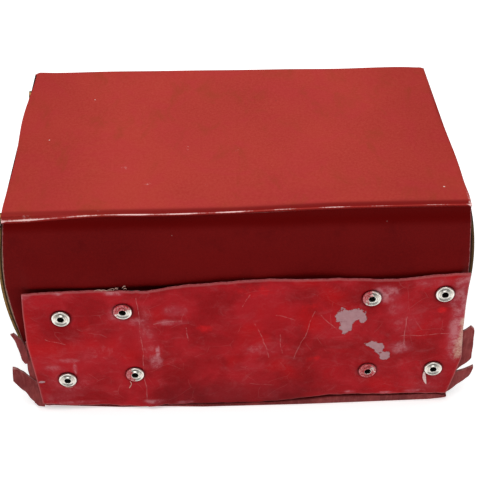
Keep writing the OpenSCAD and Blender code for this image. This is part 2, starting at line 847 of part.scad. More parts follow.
// Height of the strap's lower face above the handle face, along its length.
function strap_y(x) = let (
        a = strap_x[0] + strap_foot,
        b = strap_x[1] - strap_foot,
        t = min(1, max(0, (x - a) / (b - a)))
    ) y_far + 0.2 + strap_rise * (0.5 - 0.5 * cos(360 * t));

module handle_strap() {
    steps = 40;
    xs = [for (i = [0 : steps]) strap_x[0] + (strap_x[1] - strap_x[0]) * i / steps];
    color("maroon") translate([0, 0, axis_z - strap_w / 2]) linear_extrude(strap_w)
        polygon(concat([for (x = xs) [x, strap_y(x)]], [for (x = reversed(xs)) [x, strap_y(x) + strap_t]]));
}

// Two metal bridges that hold the ends of the strap.
module handle_keepers() {
    half = strap_w / 2 + 0.2;
    top = y_far + 0.2 + strap_t;
    color("goldenrod") for (x = [strap_x[0] + 1.5, strap_x[1] - 7.5]) {
        block([x, top, axis_z - half - 2], [x + 6, top + 1, axis_z + half + 2]);
        for (z = [axis_z - half - 2, axis_z + half])
            block([x, y_far, z], [x + 6, top + eps, z + 2]);
    }
}

// ---- tripod bush ----

bush_h = 4.6;
bush_r = 3.175;

module tripod_bush() {
    color("goldenrod") difference() {
        bar_z(0, bush_h, [0, 0], 5.2);
        bar_z(-1, bush_h + 1, [0, 0], bush_r);
    }
}

top_board();
base_board();
near_board();
far_board();
top_cover();
far_cover();
base_cover();
near_flap();
strap_band();
band_rivets();
anchor_plate_left();
anchor_plate_right();
torn_corner_left();
torn_corner_right();
front_board();
front_cover();
cover_screws();
lens_mount();
lens_bezel();
lens();
lens_retainer();
shutter_plate();
shutter_disc();
shutter_pivots();
shutter_lever();
shutter_spring();
aperture_slide();
time_slide();
finder_box();
finder_lens();
finder_lens_frame();
finder_mirror();
finder_glass();
finder_window_frame();
cone_flat_walls();
cone_side_walls();
film_gate();
carrier_plate_upper();
carrier_plate_lower();
film_roller_left();
film_roller_right();
supply_spool();
takeup_spool();
spool_pins();
spool_brakes();
winding_key();
key_guide();
key_bush();
back_door();
door_light_trap();
door_clips();
window_plate();
red_window();
window_slide();
hinge_leaf_body();
hinge_leaf_door();
hinge_pin();
handle_strap();
handle_keepers();
tripod_bush();
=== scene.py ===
"""Looks for the box camera: worn red leathercloth, riveted band, torn corners, metal and glass."""

import math
import random

import bmesh
import bpy
import numpy as np
from mathutils import Matrix, Vector


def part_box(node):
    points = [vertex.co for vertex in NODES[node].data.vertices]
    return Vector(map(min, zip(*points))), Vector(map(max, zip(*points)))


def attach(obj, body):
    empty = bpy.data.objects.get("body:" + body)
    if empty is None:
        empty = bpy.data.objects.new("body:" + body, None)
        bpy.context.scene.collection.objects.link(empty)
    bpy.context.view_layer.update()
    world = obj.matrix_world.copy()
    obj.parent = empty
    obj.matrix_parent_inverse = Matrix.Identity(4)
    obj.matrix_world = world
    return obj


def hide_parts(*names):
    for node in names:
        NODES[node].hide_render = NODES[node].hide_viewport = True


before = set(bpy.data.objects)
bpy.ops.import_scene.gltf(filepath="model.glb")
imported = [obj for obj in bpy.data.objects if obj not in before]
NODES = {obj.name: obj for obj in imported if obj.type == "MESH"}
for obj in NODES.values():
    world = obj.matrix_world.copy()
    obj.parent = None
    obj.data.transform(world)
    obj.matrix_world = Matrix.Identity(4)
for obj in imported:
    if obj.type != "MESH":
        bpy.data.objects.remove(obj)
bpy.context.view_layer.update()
MM = 0.001


# ---- small maths ----

def smooth(a, b, x):
    """0 below a, 1 above b, and a smooth step between."""
    t = np.clip((np.asarray(x, float) - a) / (b - a), 0, 1)
    return t * t * (3 - 2 * t)


def curve(points):
    """A function through (x, value) points, straight between them."""
    xs, ys = zip(*points)
    return lambda x: np.interp(x, xs, ys)


def soft_curve(points, spread):
    """curve(), averaged over a distance so that its corners are round."""
    f = curve(points)
    steps = np.linspace(-1, 1, 9)
    return lambda x: sum(f(np.asarray(x, float) + spread * s) for s in steps) / len(steps)


def waves(seed, count, shortest, longest):
    """A smooth random function of two lengths in mm, from about -1 to 1."""
    r = random.Random(seed)
    terms = []
    for _ in range(count):
        length, angle = r.uniform(shortest, longest), r.uniform(0, math.pi)
        k = 2 * math.pi / length
        terms.append((k * math.cos(angle), k * math.sin(angle), r.uniform(0, 6.28)))
    scale = 1.4 / math.sqrt(count)
    return lambda u, v: scale * sum(np.sin(a * u + b * v + c) for a, b, c in terms)


# The bowed ends: body length, rise, and the heights where the arc starts and stops.
BODY_LENGTH = 140
BOW_RISE, BOW_START, BOW_TOP = 4.1, 25, 80.2

# The top's near edge: how far it droops at the left end and is lifted toward the right, and where.
LEFT_DROOP, RIGHT_LIFT, DROOP_LENGTH, LIFT_RUN = 1.9, 1.25, 36, (-5, 36)
# Scuffs on the top: X, Y and half sizes.
TOP_SCUFFS = [(-35, -18.6, 3.8, 2), (-27.5, -27.4, 4.4, 1.8), (-41.5, -40.6, 2.6, 1.3),
              (-15.2, -8, 1.8, 3.8), (-9.2, -28.4, 1.8, 1.5), (0.8, -10, 1.7, 3),
              (53.8, -11, 1.6, 1.4), (60.7, -23, 1.5, 1.2)]

# The band: its outline in X and Z, its rivets, and the marks of wear on it, in millimetres.
BAND_TOP = [(-70, 52.4), (-58, 53.1), (-37, 53.2), (-28, 53.2), (-18, 54.6), (-6, 55.7), (7, 56.5),
            (25, 56.6), (34, 56.3), (42, 55.6), (47, 55.5), (56, 56.1), (62, 57), (72, 57.4),
            (76, 57.4)]
BAND_BOTTOM = [(-70, 3.7), (-66, 3.2), (-53, 1.9), (-40, 1.1), (-31, 1), (-27, 1.5), (-25, 2.2),
               (-23, 1.5), (-13, 1.1), (4, 1), (14, 1.7), (21, 2.9), (31, 3.9), (56, 3.9), (71, 3.8),
               (76, 3.8)]
BAND_LEFT = [(0, -66.2), (14, -67.3), (31, -68.4), (45, -67.9), (53, -67.3), (60, -67.3)]
BAND_RIGHT = [(0, 70.6), (3.8, 71.4), (12, 73), (20.5, 74.6), (34, 73.2), (44, 72.6), (60, 72.4)]
# Centre of each rivet, how much red leather is stuck on it, and the side where it is, in degrees.
RIVETS = [(-56.2, 42.6, 0, 0), (-36.6, 45, 0.6, 125), (-56.8, 15, 0, 0), (-34.4, 16.8, 0.52, 190),
          (42.1, 48.4, 0.5, 160), (65.2, 49.5, 0, 0), (43.2, 15.9, 1.15, 200), (65.4, 16.1, 0, 0)]
# Ellipses: centre X and Z, half width, half height, and a strength where one is given.
FLAKES = [(33.6, 41.2, 3.2, 3.8), (37.8, 41.8, 3.8, 2.9), (40, 39.6, 1.6, 2.6), (34.6, 36.2, 2.4, 4.2),
          (35.8, 39.6, 2.4, 2.6), (44, 27.8, 3, 1.9), (46.2, 26.2, 2.4, 2.9), (48.4, 22.8, 2.3, 2.6),
          (-65.6, 13.5, 1.5, 0.6)]
HAZES = [(-57, 12, 10, 8, 0.42), (-47, 27, 12, 7, 0.34), (-29.5, 34, 4, 17, 0.46),
         (46.4, 49.8, 5.4, 4.4, 1), (50.5, 43.5, 5, 4, 0.5), (54, 37, 7, 6, 0.4),
         (-37.6, 44, 4.6, 4.2, 0.75), (-32, 40.5, 5.5, 2.4, 0.6), (72.2, 35, 4.6, 18, 1),
         (70.5, 47.5, 4.5, 6, 0.75), (72, 54, 6, 3.6, 0.85), (43.6, 15.4, 4.6, 4, 0.6),
         (53, 26.5, 5, 3.6, 0.7), (-54, 19.6, 0.8, 3.2, 1), (-56, 23.6, 5.5, 1.8, 0.55),
         (-61, 20, 5, 2.2, 0.5), (-27.2, 22.6, 2.8, 4.6, 0.8), (-26.3, 27.4, 0.8, 3.2, 1.25),
         (-39, 52.6, 3.6, 1.1, 1.1), (-67, 52, 2.6, 1.4, 0.9), (-56.2, 52.7, 2.2, 0.8, 0.9),
         (-20, 44.5, 5, 3.4, 0.6), (-22, 39.8, 8, 1.8, 0.55), (8, 27, 8, 4, 0.4), (3, 19, 10, 3, 0.3),
         (-61, 6, 8, 3.2, 0.45), (-28.5, 3.8, 4.6, 1.4, 1), (-18, 2.6, 4, 0.9, 0.8),
         (-56, 3.6, 12, 1.2, 0.6), (38, 5.4, 2.4, 0.9, 0.9), (50.5, 4.8, 3, 0.8, 0.9),
         (59.5, 5.4, 3.4, 1, 0.95), (62, 8, 10, 4, 0.4), (62, 54.5, 9, 3, 0.5),
         (67.6, 12.2, 4, 6, 0.35), (-30, 33, 4.5, 10, 0.35)]
CREAM = [(73.9, 33, 3.4, 16, 0.92), (73.4, 25.5, 3.8, 9, 0.8), (71.6, 29.5, 3, 5, 0.6)]
VIVID = [(-11, 36.8, 3.4, 2.2, 0.7), (65.2, 42.4, 1.9, 1.8, 1), (5.4, 52.4, 10, 3.4, 0.5),
         (25, 21.8, 3, 1.8, 0.6), (24, 45, 7, 3, 0.4), (-49, 40, 4, 2.5, 0.35)]
# Scratches: the two ends, in X and Z.
SCRATCHES = [(-32, 51, -31.6, 30), (-31.6, 30, -31, 4), (4.9, 39, 7.6, 32), (7.6, 32, 9.7, 23),
             (13.1, 33.5, 14.6, 25), (24, 43, 21.2, 32.5), (21.2, 32.5, 18.3, 22),
             (-16.6, 37, -16.4, 31.5), (12, 42, 17.5, 39.5), (26, 41.5, 31.5, 34.8),
             (54.2, 40, 54.4, 28), (53, 31.8, 72, 31.7), (1, 46.5, 3.6, 51), (3.8, 10.5, 12, 9.2),
             (-62, 34, -56, 31.5), (-27, 39.4, -18, 40.2)]


# ---- materials ----

class Shader:
    """A procedural material built with short calls. Lengths are in millimetres."""

    def __init__(self, name, metallic=0.0, coat=0.0, sheen=0.0, specular=0.5):
        self.material = bpy.data.materials.new(name)
        self.material.use_nodes = True
        self.tree = self.material.node_tree
        self.bsdf = self.tree.nodes["Principled BSDF"]
        for key, value in (("Metallic", metallic), ("Specular IOR Level", specular),
                           ("Coat Weight", coat), ("Coat Roughness", 0.25), ("Sheen Weight", sheen)):
            self.bsdf.inputs[key].default_value = value
        coords = self.node("ShaderNodeTexCoord")
        self.mm = self.vector("SCALE", coords.outputs["Object"], scale=1 / MM)

    def node(self, kind, **settings):
        n = self.tree.nodes.new(kind)
        for key, value in settings.items():
            setattr(n, key, value)
        return n

    def put(self, value, socket):
        """Joins a socket, or sets a plain number or colour."""
        if isinstance(value, bpy.types.NodeSocket):
            self.tree.links.new(value, socket)
        elif isinstance(value, (tuple, list)) and len(value) == 3 and socket.type == "RGBA":
            socket.default_value = (*value, 1)
        else:
            socket.default_value = value

    def vector(self, operation, a, b=None, scale=None):
        n = self.node("ShaderNodeVectorMath", operation=operation)
        self.put(a, n.inputs[0])
        if b is not None:
            self.put(b, n.inputs[1])
        if scale is not None:
            n.inputs["Scale"].default_value = scale
        return n.outputs["Value"] if operation in ("LENGTH", "DOT_PRODUCT") else n.outputs["Vector"]

    def math(self, operation, a, b=0.0):
        n = self.node("ShaderNodeMath", operation=operation)
        self.put(a, n.inputs[0])
        self.put(b, n.inputs[1])
        return n.outputs[0]

    def times(self, a, b):
        return self.math("MULTIPLY", a, b)

    def plus(self, a, b):
        return self.math("ADD", a, b)

    def step(self, x, low, high, out_low=0.0, out_high=1.0):
        n = self.node("ShaderNodeMapRange", interpolation_type="SMOOTHSTEP")
        for value, socket in zip((x, low, high, out_low, out_high), n.inputs):
            self.put(value, socket)
        return n.outputs["Result"]

    def stretched(self, x, y, z):
        """Coordinates squeezed so that a texture looks x, y, z times as long."""
        return self.vector("MULTIPLY", self.mm, (1 / x, 1 / y, 1 / z))

    def noise(self, size, detail, roughness=0.55, distortion=0.0, co=None):
        n = self.node("ShaderNodeTexNoise")
        self.put(co or self.mm, n.inputs["Vector"])
        for key, value in (("Scale", 1 / size), ("Detail", detail), ("Roughness", roughness),
                           ("Distortion", distortion)):
            n.inputs[key].default_value = value
        return n.outputs["Fac"]

    def cells(self, size, feature, co=None):
        n = self.node("ShaderNodeTexVoronoi", feature=feature)
        self.put(co or self.mm, n.inputs["Vector"])
        n.inputs["Scale"].default_value = 1 / size
        return n.outputs["Distance"]

    def specks(self, size, share, radius):
        """Small round dots, in a share of the cells."""
        n = self.node("ShaderNodeTexVoronoi", feature="F1")
        self.put(self.mm, n.inputs["Vector"])
        n.inputs["Scale"].default_value = 1 / size
        split = self.node("ShaderNodeSeparateColor")
        self.put(n.outputs["Color"], split.inputs[0])
        chosen = self.math("LESS_THAN", split.outputs[0], share)
        return self.times(self.step(n.outputs["Distance"], radius, radius * 0.6), chosen)

    def segment(self, ax, az, bx, bz, width, co):
        """1 on a thin line between two points in X and Z, fading out across its width."""
        dx, dz = bx - ax, bz - az
        square = dx * dx + dz * dz
        flat = self.vector("MULTIPLY", co, (1, 0, 1))
        away = self.vector("SUBTRACT", flat, (ax, 0, az))
        t = self.vector("DOT_PRODUCT", away, (dx / square, 0, dz / square))
        clamp = self.node("ShaderNodeClamp")
        self.put(t, clamp.inputs[0])
        scaled = self.node("ShaderNodeVectorMath", operation="SCALE")
        scaled.inputs[0].default_value = (dx, 0, dz)
        self.put(clamp.outputs[0], scaled.inputs["Scale"])
        distance = self.vector("LENGTH", self.vector("SUBTRACT", away, scaled.outputs["Vector"]))
        return self.step(distance, width, width * 0.3)

    def attribute(self, name):
        return self.node("ShaderNodeAttribute", attribute_name=name).outputs["Fac"]

    def mix(self, factor, a, b):
        n = self.node("ShaderNodeMix", data_type="RGBA")
        self.put(factor, n.inputs["Factor"])
        self.put(a, n.inputs[6])
        self.put(b, n.inputs[7])
        return n.outputs[2]

    def over(self, base, colour, mask, strength):
        """A colour laid over the base where the mask is, at part strength."""
        return self.mix(self.times(mask, strength), base, colour)

    def ragged(self, name, noise, amount):
        """A vertex attribute made uneven with noise."""
        return self.plus(self.attribute(name), self.times(noise, amount))

    def bump(self, height, depth, under=None):
        """A bump of the given depth in millimetres, on top of another bump."""
        n = self.node("ShaderNodeBump")
        n.inputs["Distance"].default_value = depth * MM
        self.put(height, n.inputs["Height"])
        if under is not None:
            self.put(under, n.inputs["Normal"])
        return n.outputs["Normal"]

    def finish(self, colour, roughness, normal=None):
        self.put(colour, self.bsdf.inputs["Base Color"])
        self.put(roughness, self.bsdf.inputs["Roughness"])
        if normal is not None:
            self.put(normal, self.bsdf.inputs["Normal"])
        return self.material


def leathercloth(name, colour, dark, pale, rough=0.6, grain=0.55):
    """Coated cloth: fine pebble grain, faint clouds, small pale specks, worn edges, and painted shade
    where the shade attribute is set.
    """
    s = Shader(name, specular=0.08)
    base = s.mix(s.step(s.noise(45, 2), 0.3, 0.7), dark, colour)
    mottle = s.step(s.noise(0.8, 5, 0.8), 0.35, 0.68)
    base = s.over(base, pale, mottle, 0.5)
    pinker = s.step(s.noise(13, 5, 0.62, 0.8), 0.42, 0.66)
    base = s.over(base, (colour[0] * 1.05, colour[1] * 0.72, colour[2] * 1.5), pinker, 0.28)
    browner = s.step(s.noise(17, 5, 0.66, 0.6, co=s.stretched(0.5, 1, 1)), 0.5, 0.74)
    base = s.over(base, (colour[0] * 0.74, colour[1] * 1.15, colour[2] * 0.62), browner, 0.55)
    # Painted shade: a deep red mixed in where the shade attribute is set.
    base = s.mix(s.attribute("shade"), base, tuple(c * f for c, f in zip(dark, (0.52, 0.13, 0.13))))
    specks = s.math("MAXIMUM", s.specks(9, 0.1, 0.042), s.specks(4.3, 0.03, 0.06))
    base = s.over(base, (0.82, 0.68, 0.62), specks, 0.75)
    base = s.over(base, (0.08, 0.03, 0.025), s.specks(13, 0.2, 0.022), 0.7)
    edge = s.ragged("wear", s.noise(0.9, 6, 0.8), 1.3)
    base = s.over(base, (0.9, 0.58, 0.56), s.step(edge, 1.22, 1.72), 0.95)
    normal = s.bump(s.cells(grain, "SMOOTH_F1"), 0.035)
    normal = s.bump(s.noise(14, 3), 0.25, normal)
    return s.finish(base, s.step(mottle, 0, 1, rough, rough + 0.14), normal)


def band_leather():
    """The riveted band: crimson with haze, flaked patches, scratches, and painted shade round the rivets
    and low in the middle.
    """
    s = Shader("crimson_band", specular=0.04)
    cloud = s.step(s.noise(15, 4, 0.6, 0.4), 0.34, 0.66)
    base = s.mix(cloud, (0.265, 0.0014, 0.0036), (0.405, 0.0072, 0.013))
    broad = s.step(s.noise(21, 2), 0.52, 0.7)
    base = s.over(base, (0.47, 0.0012, 0.003), broad, 0.75)
    bright = s.ragged("vivid", s.noise(2.6, 5, 0.7), 1.6)
    base = s.over(base, (0.7, 0.005, 0.008), s.step(bright, 0.95, 2.1), 0.85)
    grain = s.step(s.noise(0.5, 4, 0.75), 0.3, 0.75)
    base = s.over(base, (0.5, 0.07, 0.085), grain, 0.08)
    thin = s.step(s.noise(6, 5, 0.7), 0.25, 0.75, 0.25, 0.62)
    base = s.over(base, (0.46, 0.07, 0.095), s.step(s.attribute("haze"), 0.05, 1.0), thin)
    wisps = s.noise(5, 7, 0.76, 0.9, co=s.stretched(1.4, 1.0, 1.0))
    film = s.times(s.step(wisps, 0.47, 0.85), 0.16)
    dust = s.plus(s.noise(3.4, 8, 0.8, 0.4), s.times(s.noise(0.45, 3, 0.8), 0.35))
    broken_up = s.step(s.noise(4.2, 4, 0.7), 0.34, 0.62, 0.3, 1.25)
    patchy = s.plus(s.times(s.attribute("haze"), broken_up), s.times(dust, 1.5))
    film = s.math("MAXIMUM", film, s.times(s.step(patchy, 1.25, 2.45), 0.8))
    base = s.mix(film, base, (0.55, 0.215, 0.235))
    wander = s.node("ShaderNodeTexNoise")
    s.put(s.mm, wander.inputs["Vector"])
    wander.inputs["Scale"].default_value = 0.12
    reach = 2.4
    bent = s.vector("ADD", s.mm, s.vector("SCALE", wander.outputs["Color"], scale=reach))
    lines = 0.0
    for ends in SCRATCHES:
        scratch = s.segment(*(c + reach / 2 for c in ends), 0.19, bent)
        lines = s.math("MAXIMUM", lines, scratch)
    broken = s.step(s.noise(1.8, 5, 0.75), 0.36, 0.62)
    base = s.over(base, (0.62, 0.3, 0.3), s.times(lines, broken), 0.34)
    hair = s.cells(11, "DISTANCE_TO_EDGE", co=bent)
    fine = s.times(s.step(hair, 0.01, 0.003), s.step(s.noise(8, 2), 0.5, 0.62))
    base = s.over(base, (0.56, 0.26, 0.26), fine, 0.1)
    ragged = s.ragged("flake", s.noise(2.2, 6, 0.72), 1.6)
    flake = s.step(ragged, 1.00, 1.06)
    base = s.mix(flake, base, s.mix(s.noise(1.6, 5), (0.34, 0.155, 0.175), (0.5, 0.3, 0.315)))
    cream = s.ragged("cream", dust, 1.5)
    base = s.over(base, (0.7, 0.5, 0.37), s.step(cream, 1.55, 2.25), 0.9)
    base = s.over(base, (0.55, 0.24, 0.24), s.attribute("rim"), 0.35)
    # Painted shade: dark rings round the rivets and a darker lower middle.
    base = s.over(base, (0.06, 0.006, 0.008), s.attribute("shade"), 0.85)
    rough = s.step(film, 0.0, 0.7, 0.38, 0.6)
    normal = s.bump(s.cells(0.8, "SMOOTH_F1"), 0.02)
    normal = s.bump(s.noise(4, 5), 0.3, normal)
    normal = s.bump(s.math("SUBTRACT", 1.0, flake), 0.12, normal)
    return s.finish(base, rough, normal)


def flap_leather():
    """The flap: smooth dark wine leather, with painted near black-red shade where it is sheltered."""
    s = Shader("wine_flap", specular=0.02)
    base = s.mix(s.step(s.noise(34, 3), 0.3, 0.7), (0.116, 0.0024, 0.0028), (0.144, 0.0034, 0.0036))
    mottle = s.step(s.noise(0.7, 5, 0.75), 0.3, 0.8)
    base = s.over(base, (0.19, 0.0068, 0.0062), mottle, 0.55)
    blotch = s.step(s.noise(11, 4, 0.65), 0.52, 0.72)
    base = s.over(base, (0.095, 0.0018, 0.0022), blotch, 0.45)
    base = s.over(base, (0.5, 0.3, 0.28), s.specks(11, 0.25, 0.024), 0.5)
    # Painted shade: near black-red where the shade attribute is set, under the ridge and above the band.
    base = s.mix(s.attribute("shade"), base, (0.1, 0.0003, 0.0002))
    edge = s.ragged("wear", s.noise(1.2, 5, 0.7), 0.8)
    base = s.over(base, (0.4, 0.15, 0.15), s.step(edge, 0.95, 1.2), 0.8)
    normal = s.bump(s.cells(0.5, "SMOOTH_F1"), 0.03)
    normal = s.bump(s.noise(9, 3), 0.2, normal)
    return s.finish(base, s.step(mottle, 0, 1, 0.5, 0.62), normal)


def cut_edge(name, colour, fibre):
    """The cut edge of a piece of leather: pale, fibrous."""
    s = Shader(name, specular=0.2)
    base = s.mix(s.step(s.noise(0.7, 5, 0.7), 0.3, 0.7), colour, fibre)
    return s.finish(base, 0.85, s.bump(s.noise(0.3, 4), 0.08))


def torn_leather():
    """The torn covering: wine brown, fibrous, paler along its edges."""
    s = Shader("torn_wine", specular=0.12)
    base = s.mix(s.step(s.noise(6, 4), 0.3, 0.7), (0.15, 0.014, 0.015), (0.25, 0.034, 0.033))
    fibre = s.step(s.noise(0.7, 4, 0.6, co=s.stretched(1, 1, 5)), 0.45, 0.75)
    base = s.over(base, (0.36, 0.085, 0.08), fibre, 0.4)
    edge = s.ragged("wear", s.noise(0.8, 4), 0.7)
    base = s.mix(s.step(edge, 0.95, 1.2), base, (0.42, 0.2, 0.18))
    return s.finish(base, 0.6, s.bump(s.noise(0.8, 4), 0.06))


def enamel(name, colour, chip_and_glint):
    """Enamel over metal, dusty and chipped, with a painted ochre highlight along the outer edge of each
    bowed end.
    """
    s = Shader(name, specular=0.03)
    base = s.mix(s.step(s.noise(22, 4), 0.35, 0.7), colour, tuple(c * 1.8 for c in colour))
    chips = s.step(s.noise(2.6, 6, 0.75, 0.4), 0.68, 0.72)
    base = s.mix(chips, base, chip_and_glint)
    # Painted highlight: an ochre grazing reflection along the outer edge of each bowed end where it
    # meets the near and far faces, strongest at the left end.
    place = s.node("ShaderNodeSeparateXYZ")
    s.put(s.mm, place.inputs[0])
    along, across, up = place.outputs
    half_arc = (BOW_TOP - BOW_START) / 2
    radius = (half_arc ** 2 + BOW_RISE ** 2) / (2 * BOW_RISE)
    x = s.plus(s.math("ABSOLUTE", along), radius - BOW_RISE - BODY_LENGTH / 2)
    z = s.math("SUBTRACT", up, (BOW_TOP + BOW_START) / 2)
    out = s.math("SQRT", s.plus(s.times(x, x), s.times(z, z)))
    near = s.step(s.math("ABSOLUTE", across), 40.4, 41.4)
    near = s.times(near, s.step(up, 8, 14))
    near = s.times(near, s.step(up, 77, 72))
    near = s.times(near, s.step(along, 10, -10, 0.35, 1.0))
    pale_marks = s.times(s.times(s.step(out, radius - 1.0, radius - 0.4), near),
                    s.step(s.noise(1.4, 5, 0.7), 0.25, 0.5))
    base = s.over(base, chip_and_glint, pale_marks, 0.85)
    dust = s.step(s.noise(0.9, 5, 0.8), 0.55, 0.9)
    base = s.over(base, (0.3, 0.2, 0.12), dust, 0.08)
    rough = s.step(s.noise(6, 5), 0.3, 0.75, 0.38, 0.56)
    return s.finish(base, rough, s.bump(s.noise(1.2, 4), 0.03))


def black_paint():
    """Black paint, rubbed grey in places."""
    s = Shader("black_paint", specular=0.35)
    base = s.mix(s.step(s.noise(9, 4), 0.3, 0.7), (0.012, 0.012, 0.013), (0.026, 0.025, 0.024))
    pale_marks = s.step(s.noise(1.7, 6, 0.78), 0.68, 0.74)
    base = s.over(base, (0.16, 0.15, 0.14), pale_marks, 0.5)
    return s.finish(base, s.step(s.noise(3, 4), 0.3, 0.7, 0.55, 0.75), s.bump(s.noise(0.5, 4), 0.04))


def metal(name, colour, stain, rough=0.28, brush=(1, 1, 1), stained=0.5):
    """Plated or bare metal with brushing, tarnish and fine scratches."""
    s = Shader(name, metallic=1.0)
    tarnish = s.step(s.noise(4.5, 6, 0.7), 0.42, 0.78)
    base = s.over(colour, stain, tarnish, stained)
    spots = s.step(s.noise(0.9, 5, 0.8), 0.66, 0.74)
    base = s.over(base, tuple(c * 0.35 for c in stain), spots, 0.35)
    lines = s.noise(0.35, 3, 0.6, co=s.stretched(*brush))
    value = s.plus(s.step(tarnish, 0, 1, rough, rough + 0.25),
                   s.times(s.math("SUBTRACT", lines, 0.5), 0.18))
    return s.finish(base, value, s.bump(lines, 0.012))


def rivet_metal(name, residue):
    """Nickel rivets: painted shade with some grime in the hole, the dish and under the rim, and red
    leather left on some of them.
    """
    s = Shader(name, metallic=0.9)
    base = s.mix(s.step(s.noise(1.1, 5, 0.7), 0.4, 0.75), (0.8, 0.77, 0.71), (0.52, 0.49, 0.43))
    # Painted shade with grime: dark in the hole, on the upper side of the dish and under the rim, broken
    # up with noise.
    dirt_and_shade = s.plus(s.attribute("grime_and_shade"), s.times(s.math("SUBTRACT", s.noise(0.8, 4), 0.5), 0.6))
    base = s.mix(s.step(dirt_and_shade, 0.15, 0.9, 0.0, 0.92), base, (0.055, 0.045, 0.038))
    if residue:
        stuck = s.step(s.ragged("residue", s.noise(0.9, 5, 0.75), 0.9), 0.86, 0.98)
        red = s.mix(s.step(s.noise(0.6, 4), 0.4, 0.6), (0.42, 0.008, 0.015), (0.62, 0.17, 0.18))
        base = s.mix(stuck, base, red)
        s.put(s.math("SUBTRACT", 0.9, s.times(stuck, 0.9)), s.bsdf.inputs["Metallic"])
    return s.finish(base, s.step(s.noise(0.8, 4), 0.3, 0.7, 0.24, 0.42), s.bump(s.noise(0.45, 4), 0.03))


def wood(name, light, dark, along=(14, 1, 1), ring=2.2):
    """Wood or layered board with grain along one axis."""
    s = Shader(name, specular=0.3)
    co = s.stretched(*along)
    grain = s.step(s.noise(ring, 6, 0.65, 1.2, co=co), 0.35, 0.68)
    base = s.mix(grain, dark, light)
    pores = s.step(s.noise(0.35, 3, 0.6, co=co), 0.62, 0.7)
    base = s.over(base, tuple(c * 0.4 for c in dark), pores, 0.55)
    return s.finish(base, s.step(grain, 0, 1, 0.72, 0.55), s.bump(grain, 0.05))


def glass(name, tint):
    """Old glass: tinted, with dust and a little haze."""
    s = Shader(name, specular=0.6, coat=0.3)
    s.bsdf.inputs["Transmission Weight"].default_value = 0.9
    s.bsdf.inputs["IOR"].default_value = 1.5
    dust = s.math("MAXIMUM", s.specks(2.4, 0.3, 0.06), s.step(s.noise(5, 5, 0.7), 0.6, 0.95))
    base = s.over(tint, (0.8, 0.8, 0.78), dust, 0.4)
    return s.finish(base, s.step(dust, 0, 1, 0.04, 0.3))


def mirror():
    """Silvering with dark spots."""
    s = Shader("silvering", metallic=1.0)
    spots = s.step(s.noise(1.6, 6, 0.8), 0.64, 0.72)
    base = s.mix(spots, (0.88, 0.89, 0.9), (0.24, 0.21, 0.17))
    return s.finish(base, s.step(spots, 0, 1, 0.03, 0.4))


def thread(name, colour):
    """Twisted thread, with painted shade between its strands."""
    s = Shader(name, specular=0.2, sheen=0.3)
    twist = s.noise(0.25, 3, 0.6)
    return s.finish(s.mix(twist, colour, tuple(c * 0.55 for c in colour)), 0.8, s.bump(twist, 0.03))


# ---- mesh building ----

def add_object(name, data):
    obj = bpy.data.objects.new(name, data)
    bpy.context.scene.collection.objects.link(obj)
    return obj


def make_object(name, vertices, faces, materials, face_slots=None, smooth_angle=40):
    """A mesh from vertices in millimetres, riding on the camera's body."""
    mesh = bpy.data.meshes.new(name)
    mesh.from_pydata([tuple(c * MM for c in v) for v in vertices], [], faces)
    for m in materials:
        mesh.materials.append(m)
    if face_slots is not None:
        mesh.polygons.foreach_set("material_index", face_slots)
    mesh.validate()
    bm = bmesh.new()
    bm.from_mesh(mesh)
    bmesh.ops.recalc_face_normals(bm, faces=bm.faces)
    limit = math.radians(smooth_angle)
    for f in bm.faces:
        f.smooth = True
    for e in bm.edges:
        e.smooth = len(e.link_faces) != 2 or e.calc_face_angle(0) < limit
    bm.to_mesh(mesh)
    bm.free()
    obj = add_object(name, mesh)
    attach(obj, "camera_body")
    return obj


def add_attribute(obj, name, values):
    """A value for each vertex. Fewer values are repeated: a slab's grid serves its face and back."""
    layer = obj.data.attributes.new(name, "FLOAT", "POINT")
    flat = np.asarray(values, np.float32).ravel()
    layer.data.foreach_set("value", np.tile(flat, len(obj.data.vertices) // len(flat)))


def slab_faces(rows, columns, holes):
    """Faces of a slab with a front and a back grid, and 0, 1 or 2 for front, cut edge or back."""
    def at(side, i, j):
        return (side * rows + i) * columns + j

    faces, slots, border = [], [], {}
    for i in range(rows - 1):
        for j in range(columns - 1):
            if holes is not None and holes[i:i + 2, j:j + 2].any():
                continue
            faces.append((at(0, i, j), at(0, i, j + 1), at(0, i + 1, j + 1), at(0, i + 1, j)))
            faces.append((at(1, i, j), at(1, i + 1, j), at(1, i + 1, j + 1), at(1, i, j + 1)))
            slots += [0, 2]
            loop = [(i, j), (i, j + 1), (i + 1, j + 1), (i + 1, j)]
            for a, b in zip(loop, loop[1:] + loop[:1]):
                if border.pop((b, a), None) is None:
                    border[(a, b)] = True
    for a, b in border:
        faces.append((at(0, *a), at(1, *a), at(1, *b), at(0, *b)))
        slots.append(1)
    return faces, slots


def slab(name, x, y_front, y_back, z, materials, holes=None):
    """A thin closed sheet from (rows, columns) grids. Materials: its face, its cut edge, its back."""
    faces, slots = slab_faces(*x.shape, holes)
    sides = [np.stack([x, y, z], axis=-1).reshape(-1, 3) for y in (y_front, y_back)]
    vertices = np.concatenate(sides)
    return make_object(name, vertices, faces, materials, slots)


def grid(rows, columns, along=(0, 1), across=(-1, 1)):
    """Two (rows, columns) grids of numbers: one runs along the rows, one across the columns."""
    return np.meshgrid(np.linspace(*along, rows), np.linspace(*across, columns), indexing="ij")


def resample(points, count):
    """Points at even distances along a line of given points."""
    p = np.array(points, float)
    run = np.concatenate([[0], np.cumsum(np.linalg.norm(np.diff(p, axis=0), axis=1))])
    at = np.linspace(0, run[-1], count)
    return np.stack([np.interp(at, run, p[:, k]) for k in range(p.shape[1])], axis=1)


